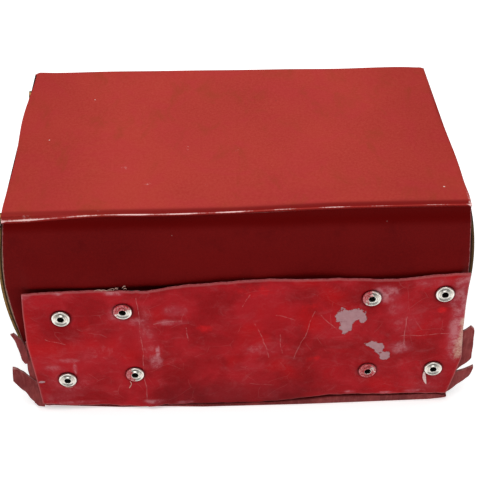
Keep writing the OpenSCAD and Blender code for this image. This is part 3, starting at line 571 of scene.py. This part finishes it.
def ring_faces(rings, size):
    """Faces of a skin over equal rings of vertices, closed at both ends."""
    faces = []
    for i in range(rings - 1):
        for k in range(size):
            n = (k + 1) % size
            faces.append((i * size + k, i * size + n, (i + 1) * size + n, (i + 1) * size + k))
    faces.append(tuple(range(size)))
    faces.append(tuple(reversed(range((rings - 1) * size, rings * size))))
    return faces


def lathe(profile, segments, origin, axis_matrix, wobble, seed):
    """Vertices and faces of a slightly oval turned shape; profile is a list of (radius, height)."""
    phase = random.Random(seed).uniform(0, 6.28)
    vertices = []
    for radius, height in profile:
        for k in range(segments):
            a = 2 * math.pi * k / segments
            r = radius * (1 + wobble * math.sin(2 * a + phase))
            point = Vector((r * math.cos(a), r * math.sin(a), height))
            vertices.append(Vector(origin) + axis_matrix @ point)
    return vertices, ring_faces(len(profile), segments)


def tube(points, radius):
    """Vertices and faces of a tube through points, closed and narrower at both ends."""
    p = [Vector(q) for q in points]
    vertices, sides = [], 6
    for i, here in enumerate(p):
        along = (p[min(i + 1, len(p) - 1)] - p[max(i - 1, 0)]).normalized()
        across = along.cross(Vector((0.3, 0.2, 1.0))).normalized()
        up = along.cross(across)
        r = radius if 0 < i < len(p) - 1 else radius * 0.55
        for k in range(sides):
            a = 2 * math.pi * k / sides
            vertices.append(here + r * (math.cos(a) * across + math.sin(a) * up))
    return vertices, ring_faces(len(p), sides)


def joined(parts):
    """Several (vertices, faces) as one."""
    vertices, faces = [], []
    for v, f in parts:
        start = len(vertices)
        vertices += list(v)
        faces += [tuple(start + i for i in face) for face in f]
    return vertices, faces


# ---- materials in use ----

RED_CLOTH = leathercloth("red_leathercloth", (0.4, 0.034, 0.024), (0.35, 0.026, 0.02),
                         (0.47, 0.062, 0.045))
FLAP = flap_leather()
BAND = band_leather()
TORN = torn_leather()
PALE_EDGE = cut_edge("pale_cut_edge", (0.62, 0.36, 0.35), (0.8, 0.62, 0.58))
BAND_EDGE = cut_edge("band_cut_edge", (0.34, 0.026, 0.032), (0.46, 0.12, 0.125))
WINE_EDGE = cut_edge("wine_cut_edge", (0.22, 0.055, 0.055), (0.42, 0.19, 0.18))
BROWN_ENAMEL = enamel("brown_enamel", (0.022, 0.007, 0.004), (0.3, 0.17, 0.055))
BLACK = black_paint()
NICKEL = metal("nickel", (0.5, 0.48, 0.44), (0.25, 0.21, 0.16))
STEEL = metal("steel", (0.42, 0.42, 0.43), (0.22, 0.17, 0.13), 0.32, (1, 12, 1))
SHEET_STEEL = metal("sheet_steel", (0.36, 0.35, 0.34), (0.2, 0.14, 0.1), 0.42, (1, 1, 10), 0.7)
BRASS = metal("brass", (0.52, 0.34, 0.13), (0.22, 0.125, 0.05), 0.3, stained=0.6)
OLD_BRASS = metal("old_brass", (0.24, 0.14, 0.055), (0.12, 0.065, 0.03), 0.42, stained=0.7)
BOARD = wood("pasteboard", (0.36, 0.24, 0.13), (0.23, 0.14, 0.075), (10, 1, 1), 1.6)
FRONT_WOOD = wood("front_wood", (0.52, 0.35, 0.19), (0.34, 0.2, 0.1), (1, 12, 1))
SPOOL_WOOD = wood("spool_wood", (0.46, 0.28, 0.14), (0.27, 0.15, 0.07), (1, 9, 1), 1.4)
CLEAR = glass("clear_glass", (0.9, 0.96, 0.97))
RED_GLASS = glass("red_glass", (0.55, 0.02, 0.015))
SILVERING = mirror()
NICKEL_CLEAN = rivet_metal("rivet_nickel", False)
NICKEL_STAINED = rivet_metal("rivet_nickel_red", True)
HANDLE = leathercloth("handle_leather", (0.15, 0.018, 0.016), (0.095, 0.01, 0.01),
                      (0.24, 0.05, 0.04), 0.5, 0.7)
WHITE_THREAD = thread("white_thread", (0.78, 0.44, 0.36))
DARK_THREAD = thread("dark_thread", (0.26, 0.16, 0.09))

# The CAD pieces that are kept as they are, by material.
CARRIED_OVER = {
    BOARD: "top_board base_board near_board far_board",
    FRONT_WOOD: "front_board",
    SPOOL_WOOD: "supply_spool takeup_spool",
    BROWN_ENAMEL: "front_cover back_door",
    BLACK: "lens_mount shutter_disc finder_box cone_flat_walls cone_side_walls film_gate"
           " carrier_plate_upper carrier_plate_lower door_light_trap",
    NICKEL: "shutter_lever aperture_slide time_slide winding_key key_guide window_plate"
            " hinge_leaf_body hinge_leaf_door",
    STEEL: "shutter_pivots shutter_spring film_roller_left film_roller_right spool_pins"
           " spool_brakes door_clips hinge_pin",
    SHEET_STEEL: "anchor_plate_left anchor_plate_right shutter_plate",
    OLD_BRASS: "cover_screws",
    BRASS: "lens_bezel lens_retainer finder_lens_frame finder_window_frame key_bush window_slide"
           " handle_keepers tripod_bush",
    CLEAR: "lens finder_lens finder_glass",
    RED_GLASS: "red_window",
    SILVERING: "finder_mirror",
}
for material, names in CARRIED_OVER.items():
    for node_name in names.split():
        node_mesh = NODES[node_name].data
        node_mesh.materials.clear()
        node_mesh.materials.append(material)


def box_mm(node_name):
    """The low and high corners of a CAD node's box, in millimetres."""
    low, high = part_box(node_name)
    return [c / MM for c in low], [c / MM for c in high]


# ---- upper covering ----

def build_top_cover():
    """The upper covering. Its near edge is rolled: a shallow slope, a worn ridge, and an undercut."""
    (x0, y0, _), (x1, y1, z1) = box_mm("top_cover")
    columns, thick = 220, 0.8
    profile = [(y1, z1 - thick), (y1, z1 - 0.35), (y1 - 0.35, z1)]
    profile += [(y, z1) for y in np.linspace(y1 - 2, y0 + 6, 90)]
    slope = [(4.4, 0.04), (3.4, 0.12), (2.7, 0.24), (2.2, 0.42), (1.8, 0.62), (1.4, 0.74), (1.0, 0.74),
             (0.65, 0.6), (0.35, 0.42), (0.12, 0.36), (-0.1, 0.44), (-0.22, 0.66), (-0.18, 0.92),
             (0.05, 1.08), (0.5, 1.12), (0.8, 1.0), (1.4, 0.8)]
    profile += [(y0 + dy, z1 - dz) for dy, dz in slope]
    ridge_at = len(profile) - 8
    profile += [(y0 + dy, z1 - thick) for dy in (2.5, 4.5, 7, 10, 13, 16)]
    ripple, edge_wave, amount = waves(3, 7, 30, 90), waves(5, 5, 18, 60), waves(8, 6, 7, 40)
    vertices, wear, shade = [], [], []
    for x in np.linspace(x0, x1, columns):
        side = min(x - x0, x1 - x)
        for i, (y, z) in enumerate(profile):
            upper = z > z1 - 0.7 and y > y0 + 3.0
            sag = 0.14 * (ripple(x, y) - 0.6) * smooth(0, 8, side) if upper else 0.0
            shift = 0.28 * edge_wave(y, 9.0 * (x > 0)) * smooth(3, 0, side)
            roll = 0.35 * smooth(1.4, 0, side) if z > z1 - 0.6 else 0.0
            roll += LEFT_DROOP * smooth(x0 + DROOP_LENGTH, x0, x) * smooth(y0 + 0.8, y0 + 0.02, y)
            near = smooth(y0 + 3.4, y0 + 0.2, y)
            bead = 0.13 * edge_wave(x, 40) * near
            lifted = smooth(*LIFT_RUN, x)
            roll -= RIGHT_LIFT * lifted * smooth(y0 + 15, y0 + 2, y)
            bead += 0.1 * lifted * near
            vertices.append((x + shift, y + bead, z + sag - roll))
            beside = 0.82 - 0.24 * lifted - 0.5 * smooth(x0 + DROOP_LENGTH, x0 + 6, x)
            ridge = 1.0 if i == ridge_at else (beside if abs(i - ridge_at) == 1 else 0.0)
            corner = smooth(10, 0, x - x0) * smooth(y0 + 3, y0, y)
            right_edge = smooth(2.0, 0.3, x1 - x) * (0.42 + 0.42 * smooth(y0 + 16, y0, y))
            scuff = 0.62 * smooth(3.0, 0.6, abs(x + 62.8)) * smooth(y0 + 2.8, y0 + 0.8, y)
            left_edge = 0.36 * smooth(1.2, 0.2, x - x0)
            ridge_wear = ridge * (0.9 + 0.16 * amount(x, 0) - 0.16 * lifted)
            for cx, cy, rx, ry in TOP_SCUFFS:
                scuff = max(scuff, 0.6 * smooth(1.0, 0.2, math.hypot((x - cx) / rx, (y - cy) / ry)))
            wear.append(max(ridge_wear + 0.16 * corner, scuff) + max(right_edge, left_edge))
            # Painted shade: deep red on the slope below the ridge and under the roll, and a faint
            # darkening toward the side edges and the near edge.
            slope_dark = smooth(y0 + 3.1, y0 + 1.8, y) * (1 - 0.8 * ridge)
            slope_dark *= 0.7 + 0.3 * smooth(x0, x0 + 60, x)
            under = 1.0 if i > ridge_at + 1 else 0.0
            edge_shade = 0.17 * smooth(34, 0, side) + 0.04 * smooth(y0 + 26, y0, y)
            shade.append(max(0.95 * slope_dark, under, edge_shade))
    faces = ring_faces(columns, len(profile))
    obj = make_object("top_cloth", vertices, faces, [RED_CLOTH], smooth_angle=60)
    add_attribute(obj, "wear", wear)
    add_attribute(obj, "shade", shade)
    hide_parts("top_cover")


# ---- near flap ----

def build_flap():
    """The loose flap: it tucks in under the rolled edge above, and bulges out above the band."""
    (_, y_front, z0), (_, _, z1) = box_mm("near_flap")
    z1 += 0.7
    thick = 0.8
    half = curve([(z0 - 3, 66.5), (z0, 66.5), (27, 69.7), (41, 71.4), (54, 72.4), (61, 72.0), (68, 71.2),
                  (z1, 69.8)])
    v, u = grid(70, 170)
    z = z0 + (z1 - z0) * v
    x = u * half(z)
    left_end = -BODY_LENGTH / 2
    follow = 1.15 * smooth(*LIFT_RUN, x) - LEFT_DROOP * smooth(left_end + DROOP_LENGTH, left_end, x)
    z = z + follow * smooth(z1 - 10, z1, z)
    ripple = waves(11, 6, 25, 80)
    hollow = 0.95 * smooth(z1 - 5, z1 - 0.5, z)
    side = half(z) - np.abs(x)
    edge_turn = 0.25 * smooth(1.2, 0, side)
    bulge = 0.95 * smooth(68, 57, z) * smooth(52.2, 54.2, z) * smooth(-68, -64, x) * smooth(72, 69, x)
    y = y_front + 0.08 + hollow - bulge + 0.12 * ripple(x, z) * smooth(z1, z1 - 8, z) + edge_turn
    obj = slab("flap_leather", x, y, y + thick, z, [FLAP, WINE_EDGE, FLAP])
    add_attribute(obj, "wear", 0.85 * smooth(0.8, 0.05, side))
    band_top = soft_curve(BAND_TOP, 3)(x)
    # Painted shade: dark under the rolled ridge and just above the band's top edge.
    under_ridge = smooth(z1 - 6.0, z1 - 2.5, z)
    above_band = smooth(band_top + 2.4, band_top + 0.2, z)
    add_attribute(obj, "shade", np.clip(0.85 * under_ridge + 0.3 * above_band, 0, 1))
    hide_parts("near_flap")
    area = float(np.sum(2 * half(np.linspace(z0, z1, 400))) * (z1 - z0) / 400) * MM * MM


# ---- riveted band ----

def ellipse_field(x, z, cx, cz, rx, rz):
    """1 in the middle of an ellipse, 0 on its line, below 0 outside."""
    return 1 - np.sqrt(((x - cx) / rx) ** 2 + ((z - cz) / rz) ** 2)


def spots_field(x, z, spots):
    """The strongest of several soft ellipses at each point."""
    field = np.zeros_like(x)
    for cx, cz, rx, rz, strength in spots:
        field = np.maximum(field, strength * smooth(-0.35, 0.75, ellipse_field(x, z, cx, cz, rx, rz)))
    return field


def rivet_distance(x, z):
    """How far each point is from the nearest rivet's middle."""
    return np.min([np.hypot(x - cx, z - cz) for cx, cz, _, _ in RIVETS], axis=0)


def band_wave(x, z):
    """How far the band's face stands out beyond its flat CAD face, in mm."""
    out = 0.24 * waves(21, 8, 16, 60)(x, z)
    out = out + 0.4 * smooth(7, 0, np.abs(x + 29.5)) - 0.28 * smooth(1.6, 0, np.abs(x + 31.6))
    out = out - 0.14 * smooth(1.2, 0, np.abs(x - 54.2))
    top = curve(BAND_TOP)(x)
    out = out + 0.25 * smooth(top - 9, top, z) * smooth(-50, -30, x)
    d = rivet_distance(x, z)
    return out * smooth(2.6, 7.5, d) - 0.35 * smooth(4.2, 2.6, d)


def build_band():
    """The riveted band: one waved sheet with a hole at each rivet."""
    (_, y_face, _), (_, y_back, _) = box_mm("strap_band")
    thick, hole_radius = (y_back - y_face) * 0.9, 1.9
    left_end, length = -67.4, 140.2
    v, u = grid(90, 230, across=(0, 1))
    top, bottom = soft_curve(BAND_TOP, 3), soft_curve(BAND_BOTTOM, 0.8)
    x = left_end + length * u
    z = bottom(x) + (top(x) - bottom(x)) * v
    left, right = soft_curve(BAND_LEFT, 1.2)(z), soft_curve(BAND_RIGHT, 0.8)(z)
    x = left + (right - left) * u
    z = bottom(x) + (top(x) - bottom(x)) * v
    z = z + 0.07 * waves(31, 6, 2.2, 9)(x, 0) * (smooth(0.96, 1, v) + 1.6 * smooth(0.04, 0, v))
    rim = np.minimum(np.minimum(x - left, right - x), np.minimum(top(x) - z, z - bottom(x)))
    y = y_face - band_wave(x, z) + 0.3 * smooth(0.7, 0.0, rim)
    y_behind = y + (thick - 0.45 * smooth(0.7, 0.0, rim))
    holes = rivet_distance(x, z) < hole_radius
    obj = slab("band_leather", x, y, y_behind, z, [BAND, BAND_EDGE, TORN], holes)
    flake = np.full_like(x, -1.0)
    for f in FLAKES:
        flake = np.maximum(flake, ellipse_field(x, z, *f))
    add_attribute(obj, "flake", np.clip(flake, -1, 1))
    for name, spots in (("haze", HAZES), ("cream", CREAM), ("vivid", VIVID)):
        add_attribute(obj, name, spots_field(x, z, spots))
    add_attribute(obj, "rim", smooth(0.4, 0.05, rim))
    # Painted shade: the lower middle of the band darker, and dark rings round the rivets.
    low_middle = 0.5 * smooth(17, 5, z) * smooth(-34, -22, x) * smooth(36, 20, x)
    rings = 0.8 * smooth(3.9, 3.0, rivet_distance(x, z + 0.25))
    add_attribute(obj, "shade", np.maximum(rings, low_middle))
    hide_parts("strap_band")


# A rivet's section: radius and height, from the floor of its hole over lip, dish and rim to its back.
RIVET_PROFILE = [(0.95, -1.25), (1.02, -0.6), (1.05, 0.1), (1.08, 0.6), (1.14, 0.78), (1.24, 0.84),
                 (1.34, 0.78), (1.44, 0.58), (1.56, 0.34), (1.74, 0.16), (1.96, 0.14), (2.16, 0.28),
                 (2.34, 0.46), (2.5, 0.6), (2.64, 0.66), (2.8, 0.62), (2.91, 0.48), (2.94, 0.28),
                 (2.9, 0.06), (2.76, -0.12), (2.66, -0.4), (1.3, -1.45)]


def build_rivets():
    """Hollow rivets: a rolled rim, a deep dish, and a small rolled lip round the hole."""
    face = box_mm("strap_band")[0][1]
    segments, wobble, tip = 44, 0.012, 0.05
    rng = random.Random(7)
    outward = Matrix.Rotation(math.radians(90), 3, "X")
    parts, slots, grime_and_shade, residue = [], [], [], []
    for i, (x, z, amount, turn) in enumerate(RIVETS):
        tilt = Matrix.Rotation(rng.uniform(-tip, tip), 3, "X")
        tilt = tilt @ Matrix.Rotation(rng.uniform(-tip, tip), 3, "Z")
        v, f = lathe(RIVET_PROFILE, segments, (x, face, z), tilt @ outward, wobble, i)
        parts.append((v, f))
        slots += [1 if amount else 0] * len(f)
        for radius, height in RIVET_PROFILE:
            # Painted shade: dark in the hole, darker on the upper side of the dish where the rim shades
            # it, and dark under the rim.
            hole = 1.6 if radius < 1.12 else 0.0
            skirt = 0.7 if radius > 2.6 and height < 0.15 else 0.0
            depth = float(smooth(0.6, 0.1, height)) if 1.4 < radius < 2.5 else 0.0
            for k in range(segments):
                a = 2 * math.pi * k / segments
                upper = 0.5 + 0.5 * math.sin(a)
                grime_and_shade.append(max(hole, (0.1 + 0.62 * upper) * depth, skirt))
                around = math.cos(a - math.radians(turn))
                residue.append(amount * (0.8 + 0.4 * around) if amount and radius > 1.15 else 0.0)
    obj = make_object("rivets", *joined(parts), [NICKEL_CLEAN, NICKEL_STAINED], slots, 80)
    add_attribute(obj, "grime_and_shade", grime_and_shade)
    add_attribute(obj, "residue", residue)
    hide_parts("band_rivets")


# ---- torn corners and lower covering ----

def leaf(name, edge_a, edge_b, y_start, curl, seed=1):
    """A torn tab between two edge lines in X and Z. curl(t) moves it in Y from its root to its tip."""
    rows, columns, thick = 26, 9, 0.75
    along, across = grid(rows, columns)
    t = np.linspace(0, 1, columns)
    (xa, za), (xb, zb) = resample(edge_a, rows).T, resample(edge_b, rows).T
    x = xa[:, None] * (1 - t) + xb[:, None] * t
    z = za[:, None] * (1 - t) + zb[:, None] * t
    y = y_start + curl(along) + 0.18 * across * across + 0.12 * waves(seed, 4, 4, 14)(x, z)
    obj = slab(name, x, y, y + thick, z, [TORN, WINE_EDGE, TORN])
    add_attribute(obj, "wear", 0.7 * smooth(0.7, 1, np.abs(across)) + 0.35 * smooth(0.85, 1, along))
    return obj


def build_torn_corners():
    """The slit corners of the covering: a root under the band and curling tabs beside it."""
    y = box_mm("torn_corner_left")[0][1]
    left = leaf("torn_left_root", [(-69.2, 30.6), (-69.5, 25), (-69.9, 18), (-69.2, 11), (-66.4, 1)],
                [(-64.5, 30.8), (-64.5, 25), (-64.5, 18), (-64, 11), (-63, 0.6)],
                y + 0.1, lambda t: 0 * t)
    upper = leaf("torn_left_upper",
                 [(-70.3, 21.4), (-71.1, 23.2), (-71.4, 27), (-72, 31.6), (-73.2, 35)],
                 [(-69, 21.6), (-68.9, 24.5), (-69.2, 28.5), (-69.9, 32.2), (-72.2, 35.4)],
                 y - 0.35, lambda t: -0.5 * t * t, 2)
    lower = leaf("torn_left_lower",
                 [(-66.3, 0.4), (-68.6, 0.9), (-70.2, 4), (-71.8, 8.3), (-73.8, 11.4), (-75.1, 13.9)],
                 [(-65, 10), (-67.5, 12.5), (-70.2, 15.6), (-71.5, 18), (-72.9, 19.5), (-74.5, 20.2)],
                 y - 0.3, lambda t: 0.1 - 0.9 * t * t, 3)
    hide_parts("torn_corner_left")
    right = leaf("torn_right_upper", [(71.4, 10.8), (71.6, 17), (71.8, 24), (72.6, 30), (73.9, 31.8)],
                 [(74.2, 13.4), (76.4, 16.1), (78.3, 19), (78.1, 24.9), (77.5, 32.2), (76.2, 33.7)],
                 y - 0.15, lambda t: -0.4 * t * t, 4)
    point = leaf("torn_right_lower",
                 [(68, 1), (70.2, 1.6), (72.4, 2.9), (76.9, 8.3), (78.7, 10.4), (79.4, 14.2)],
                 [(68, 10), (71.5, 12), (73.9, 12.9), (76.7, 14), (78.2, 15), (79.2, 16.1)],
                 y - 0.35, lambda t: 0.1 - 0.7 * t * t, 5)
    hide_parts("torn_corner_right")


def build_base_cover():
    """The lower covering, with its torn front lip turned up under the band."""
    _, (_, y1, _) = box_mm("base_cover")
    _, (_, y0, _) = box_mm("near_flap")
    x0, x1, side = -70.0, 72.2, 70.0
    columns = 160
    lip_y = curve([(-70, -42.5), (-66, -43.6), (-40, -45.4), (-25, -45.6), (-12, -46.2), (22, -46.2),
                   (40, -45.9), (66, -45.4), (71, -44.9), (73, -44.3)])
    lip_z = curve([(-70, 0.7), (-40, 0.7), (-14, 0.8), (12, 1), (22, 2), (32, 2.8), (64, 2.9),
                   (69, 2.2), (72.2, 0.8)])
    wave = waves(41, 5, 8, 30)
    vertices = []
    for x in np.linspace(x0, x1, columns):
        outer = min(max(x, -side), side)
        yl, h = float(lip_y(x)), float(lip_z(x)) + 0.08 * float(wave(x, 0))
        vertices += [(outer, y1, 0), (outer, y1, 0.8), (outer, y0 + 0.5, 0.8), (outer, y0, 0.79),
                     (x, yl + 1.3, 0.78), (x, yl + 1, max(h, 0.5)), (x, yl + 0.2, h), (x, yl, h - 0.15),
                     (x, yl - 0.05, 0.25), (x, yl + 0.15, 0), (outer, y0, 0), (outer, y0 + 0.5, 0)]
    ring = len(vertices) // columns
    torn_lip = [1 if 4 <= i <= 8 else 0 for i in range(ring)]
    slots = torn_lip * (columns - 1) + [0, 0]
    obj = make_object("base_cloth", vertices, ring_faces(columns, ring), [RED_CLOTH, TORN], slots)
    add_attribute(obj, "wear", [0, 0, 0, 0, 0, 0.3, 0.45, 0.35, 0, 0, 0, 0])
    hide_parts("base_cover")


def build_far_cover():
    """The far covering, with its slots: the CAD outline with softened, worn edges."""
    mesh = NODES["far_cover"].data.copy()
    mesh.name = "far_cloth"
    bm = bmesh.new()
    bm.from_mesh(mesh)
    bmesh.ops.dissolve_limit(bm, angle_limit=math.radians(1), verts=bm.verts, edges=bm.edges)
    sharp = [e for e in bm.edges if len(e.link_faces) == 2 and e.calc_face_angle(0) > math.radians(50)]
    bmesh.ops.bevel(bm, geom=sharp, offset=0.22 * MM, segments=2, affect="EDGES")
    bmesh.ops.triangulate(bm, faces=bm.faces)
    bm.to_mesh(mesh)
    bm.free()
    mesh.materials.clear()
    mesh.materials.append(RED_CLOTH)
    obj = add_object("far_cloth", mesh)
    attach(obj, "camera_body")
    co = np.array([v.co for v in mesh.vertices], float) / MM
    side = np.minimum(co[:, 0] - co[:, 0].min(), co[:, 0].max() - co[:, 0])
    add_attribute(obj, "wear", 0.3 * smooth(1.5, 0, side))
    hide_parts("far_cover")


# ---- loose threads ----

def build_threads():
    """Frayed stitching above the band, a loose fibre under one rivet and a pink curl by another."""
    r = random.Random(5)
    face = box_mm("strap_band")[0][1]
    parts = []
    shorter, jitter = 0.72, 0.06
    for x0, z0, run, rise in [(-46.4, 54.6, 3.2, 0.1), (-46, 54.2, 3, 0.2), (-43.6, 54.6, 3, -0.1),
                              (-41.2, 54.4, 2.6, 0.1), (-40.6, 54.8, 3, 0.3), (-38.2, 54.6, 2.2, 0.5),
                              (-37.6, 55, 1.6, 0.4), (-34.2, 55.6, 1.4, 0.5), (-33.6, 55.2, 1.2, -0.3),
                              (-65, 53, 1.6, 0.2)]:
        start = x0 if x0 < -60 else -44.9 + shorter * (x0 + 46.4)
        points = []
        for t in np.linspace(0, 1, 9):
            x = start + shorter * run * t + r.uniform(-jitter, jitter)
            y = face + 0.4 + 0.4 * math.sin(3 * t) + r.uniform(-jitter, jitter)
            points.append((x, y, z0 - 1.1 + rise * t + 0.1 * math.sin(5 * t + x0)))
        parts.append(tube(points, r.uniform(0.06, 0.12)))
    cx, cz = RIVETS[3][:2]
    points = [(cx - 1.9 + 0.4 * math.sin(4.2 * t), face - 0.5 - 0.4 * t, cz - 2.9 - 2.9 * t)
              for t in np.linspace(0, 1, 12)]
    parts.append(tube(points, 0.13))
    cx, cz = RIVETS[2][:2]
    points = [(cx - 1.2 + 2.6 * t, face - 0.35, cz - 3.2 - 0.4 * math.sin(3.1 * t))
              for t in np.linspace(0, 1, 8)]
    parts.append(tube(points, 0.09))
    obj = make_object("loose_threads", *joined(parts), [WHITE_THREAD])
    cx, cz = RIVETS[7][:2]
    t, u = grid(14, 5)
    width = 0.45 * np.sin(np.pi * np.clip(t * 0.85 + 0.12, 0, 1)) + 0.1
    x = cx - 2.8 + u * width + 1.1 * t * t
    z = cz - 1.6 - 5.2 * t
    y = face - 0.55 - 0.5 * np.sin(2.4 * t) + 0.12 * u * u
    curl = slab("torn_curl", x, y, y + 0.3, z, [PALE_EDGE] * 3)


# ---- handle ----

def build_handle():
    """The arched leather strap, domed across its width, with a row of stitches down each side."""
    (x0, y0, z0), (x1, y1, z1) = box_mm("handle_strap")
    thick, foot = 2.0, 9.0
    stitch, pitch, inset, end = 1.7, 2.4, 2.0, 10.0
    rise = y1 - y0 - thick

    def lower(x):
        t = np.clip((x - x0 - foot) / (x1 - x0 - 2 * foot), 0, 1)
        return y0 + rise * (0.5 - 0.5 * np.cos(2 * math.pi * t))

    s, u = grid(90, 15, along=(x0, x1))
    zc, half = (z0 + z1) / 2, (z1 - z0) / 2
    z = zc + u * half * (1 - 0.02 * np.cos(6 * s / (x1 - x0)))
    edge = 0.75 * np.abs(u) ** 6
    bulge = 0.18 * (1 - u * u)
    upper = lower(s) + thick - 0.18 - edge * 0.6 + bulge
    under = lower(s) + 0.02 + edge * 0.5
    obj = slab("handle_leather", s, upper, under, z, [HANDLE, WINE_EDGE, HANDLE])
    middle = smooth(0.2, 0.5, 1 - np.abs((s - 12) / 40))
    add_attribute(obj, "wear", 0.5 * smooth(0.8, 1, np.abs(u)) * middle)
    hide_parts("handle_strap")
    parts = []
    for side in (-1, 1):
        zs = zc + side * (half - inset)
        for x in np.arange(x0 + end, x1 - end, pitch):
            points = []
            for t in np.linspace(0, 1, 6):
                xx = x + stitch * t
                points.append((xx, float(lower(xx)) + thick - 0.06 + 0.16 * math.sin(math.pi * t), zs))
            parts.append(tube(points, 0.2))
    stitches = make_object("handle_stitches", *joined(parts), [DARK_THREAD])


build_top_cover()
build_flap()
build_band()
build_rivets()
build_torn_corners()
build_base_cover()
build_far_cover()
build_threads()
build_handle()


# ---- stage ----

def build_stage():
    """A white floor and world, and one wide soft light overhead."""
    shader = Shader("floor_white", specular=0.05)
    paper = shader.mix(shader.noise(300, 2), (0.86, 0.86, 0.855), (0.89, 0.89, 0.89))
    shader.finish(paper, 0.9)
    shader.bsdf.inputs["Emission Color"].default_value = (1, 1, 1, 1)
    shader.bsdf.inputs["Emission Strength"].default_value = 0.5
    size, drop = 3.0, 0.1 * MM
    mesh = bpy.data.meshes.new("floor")
    corners = [(-size, -size), (size, -size), (size, size), (-size, size)]
    mesh.from_pydata([(x, y, -drop) for x, y in corners], [], [(0, 1, 2, 3)])
    mesh.materials.append(shader.material)
    add_object("floor", mesh)
    world = bpy.data.worlds.new("studio")
    world.use_nodes = True
    sky = world.node_tree.nodes["Background"].inputs
    sky["Color"].default_value = (1, 1, 1, 1)
    sky["Strength"].default_value = 0.28
    bpy.context.scene.world = world
    data = bpy.data.lights.new("overhead", "AREA")
    data.shape, data.size, data.energy = "SQUARE", 0.9, 8.0
    light = add_object("overhead", data)
    light.location = (-0.05, -0.02, 0.9)


def build_camera():
    """The camera stands in front, a little left of the middle, and looks down at 39 degrees."""
    yaw, pitch, roll = (math.radians(angle) for angle in (-2.785, 39.19, 0.59))
    stands_at = Vector((-8.25, -285.1, 264.1)) * MM
    level = math.cos(pitch)
    forward = Vector((-math.sin(yaw) * level, math.cos(yaw) * level, -math.sin(pitch)))
    right = Vector((math.cos(yaw), math.sin(yaw), 0))
    up = right.cross(forward)
    across = math.cos(roll) * right + math.sin(roll) * up
    upright = -math.sin(roll) * right + math.cos(roll) * up
    data = bpy.data.cameras.new("camera")
    data.sensor_width, data.lens = 36.0, 73.74
    data.clip_start, data.clip_end = 0.01, 20
    camera = add_object("camera", data)
    rotation = Matrix((across, upright, -forward)).transposed()
    camera.matrix_world = Matrix.Translation(stands_at) @ rotation.to_4x4()
    bpy.context.scene.camera = camera


build_stage()
build_camera()
bpy.context.scene.view_settings.view_transform = "Standard"
bpy.context.scene.view_settings.look = "None"
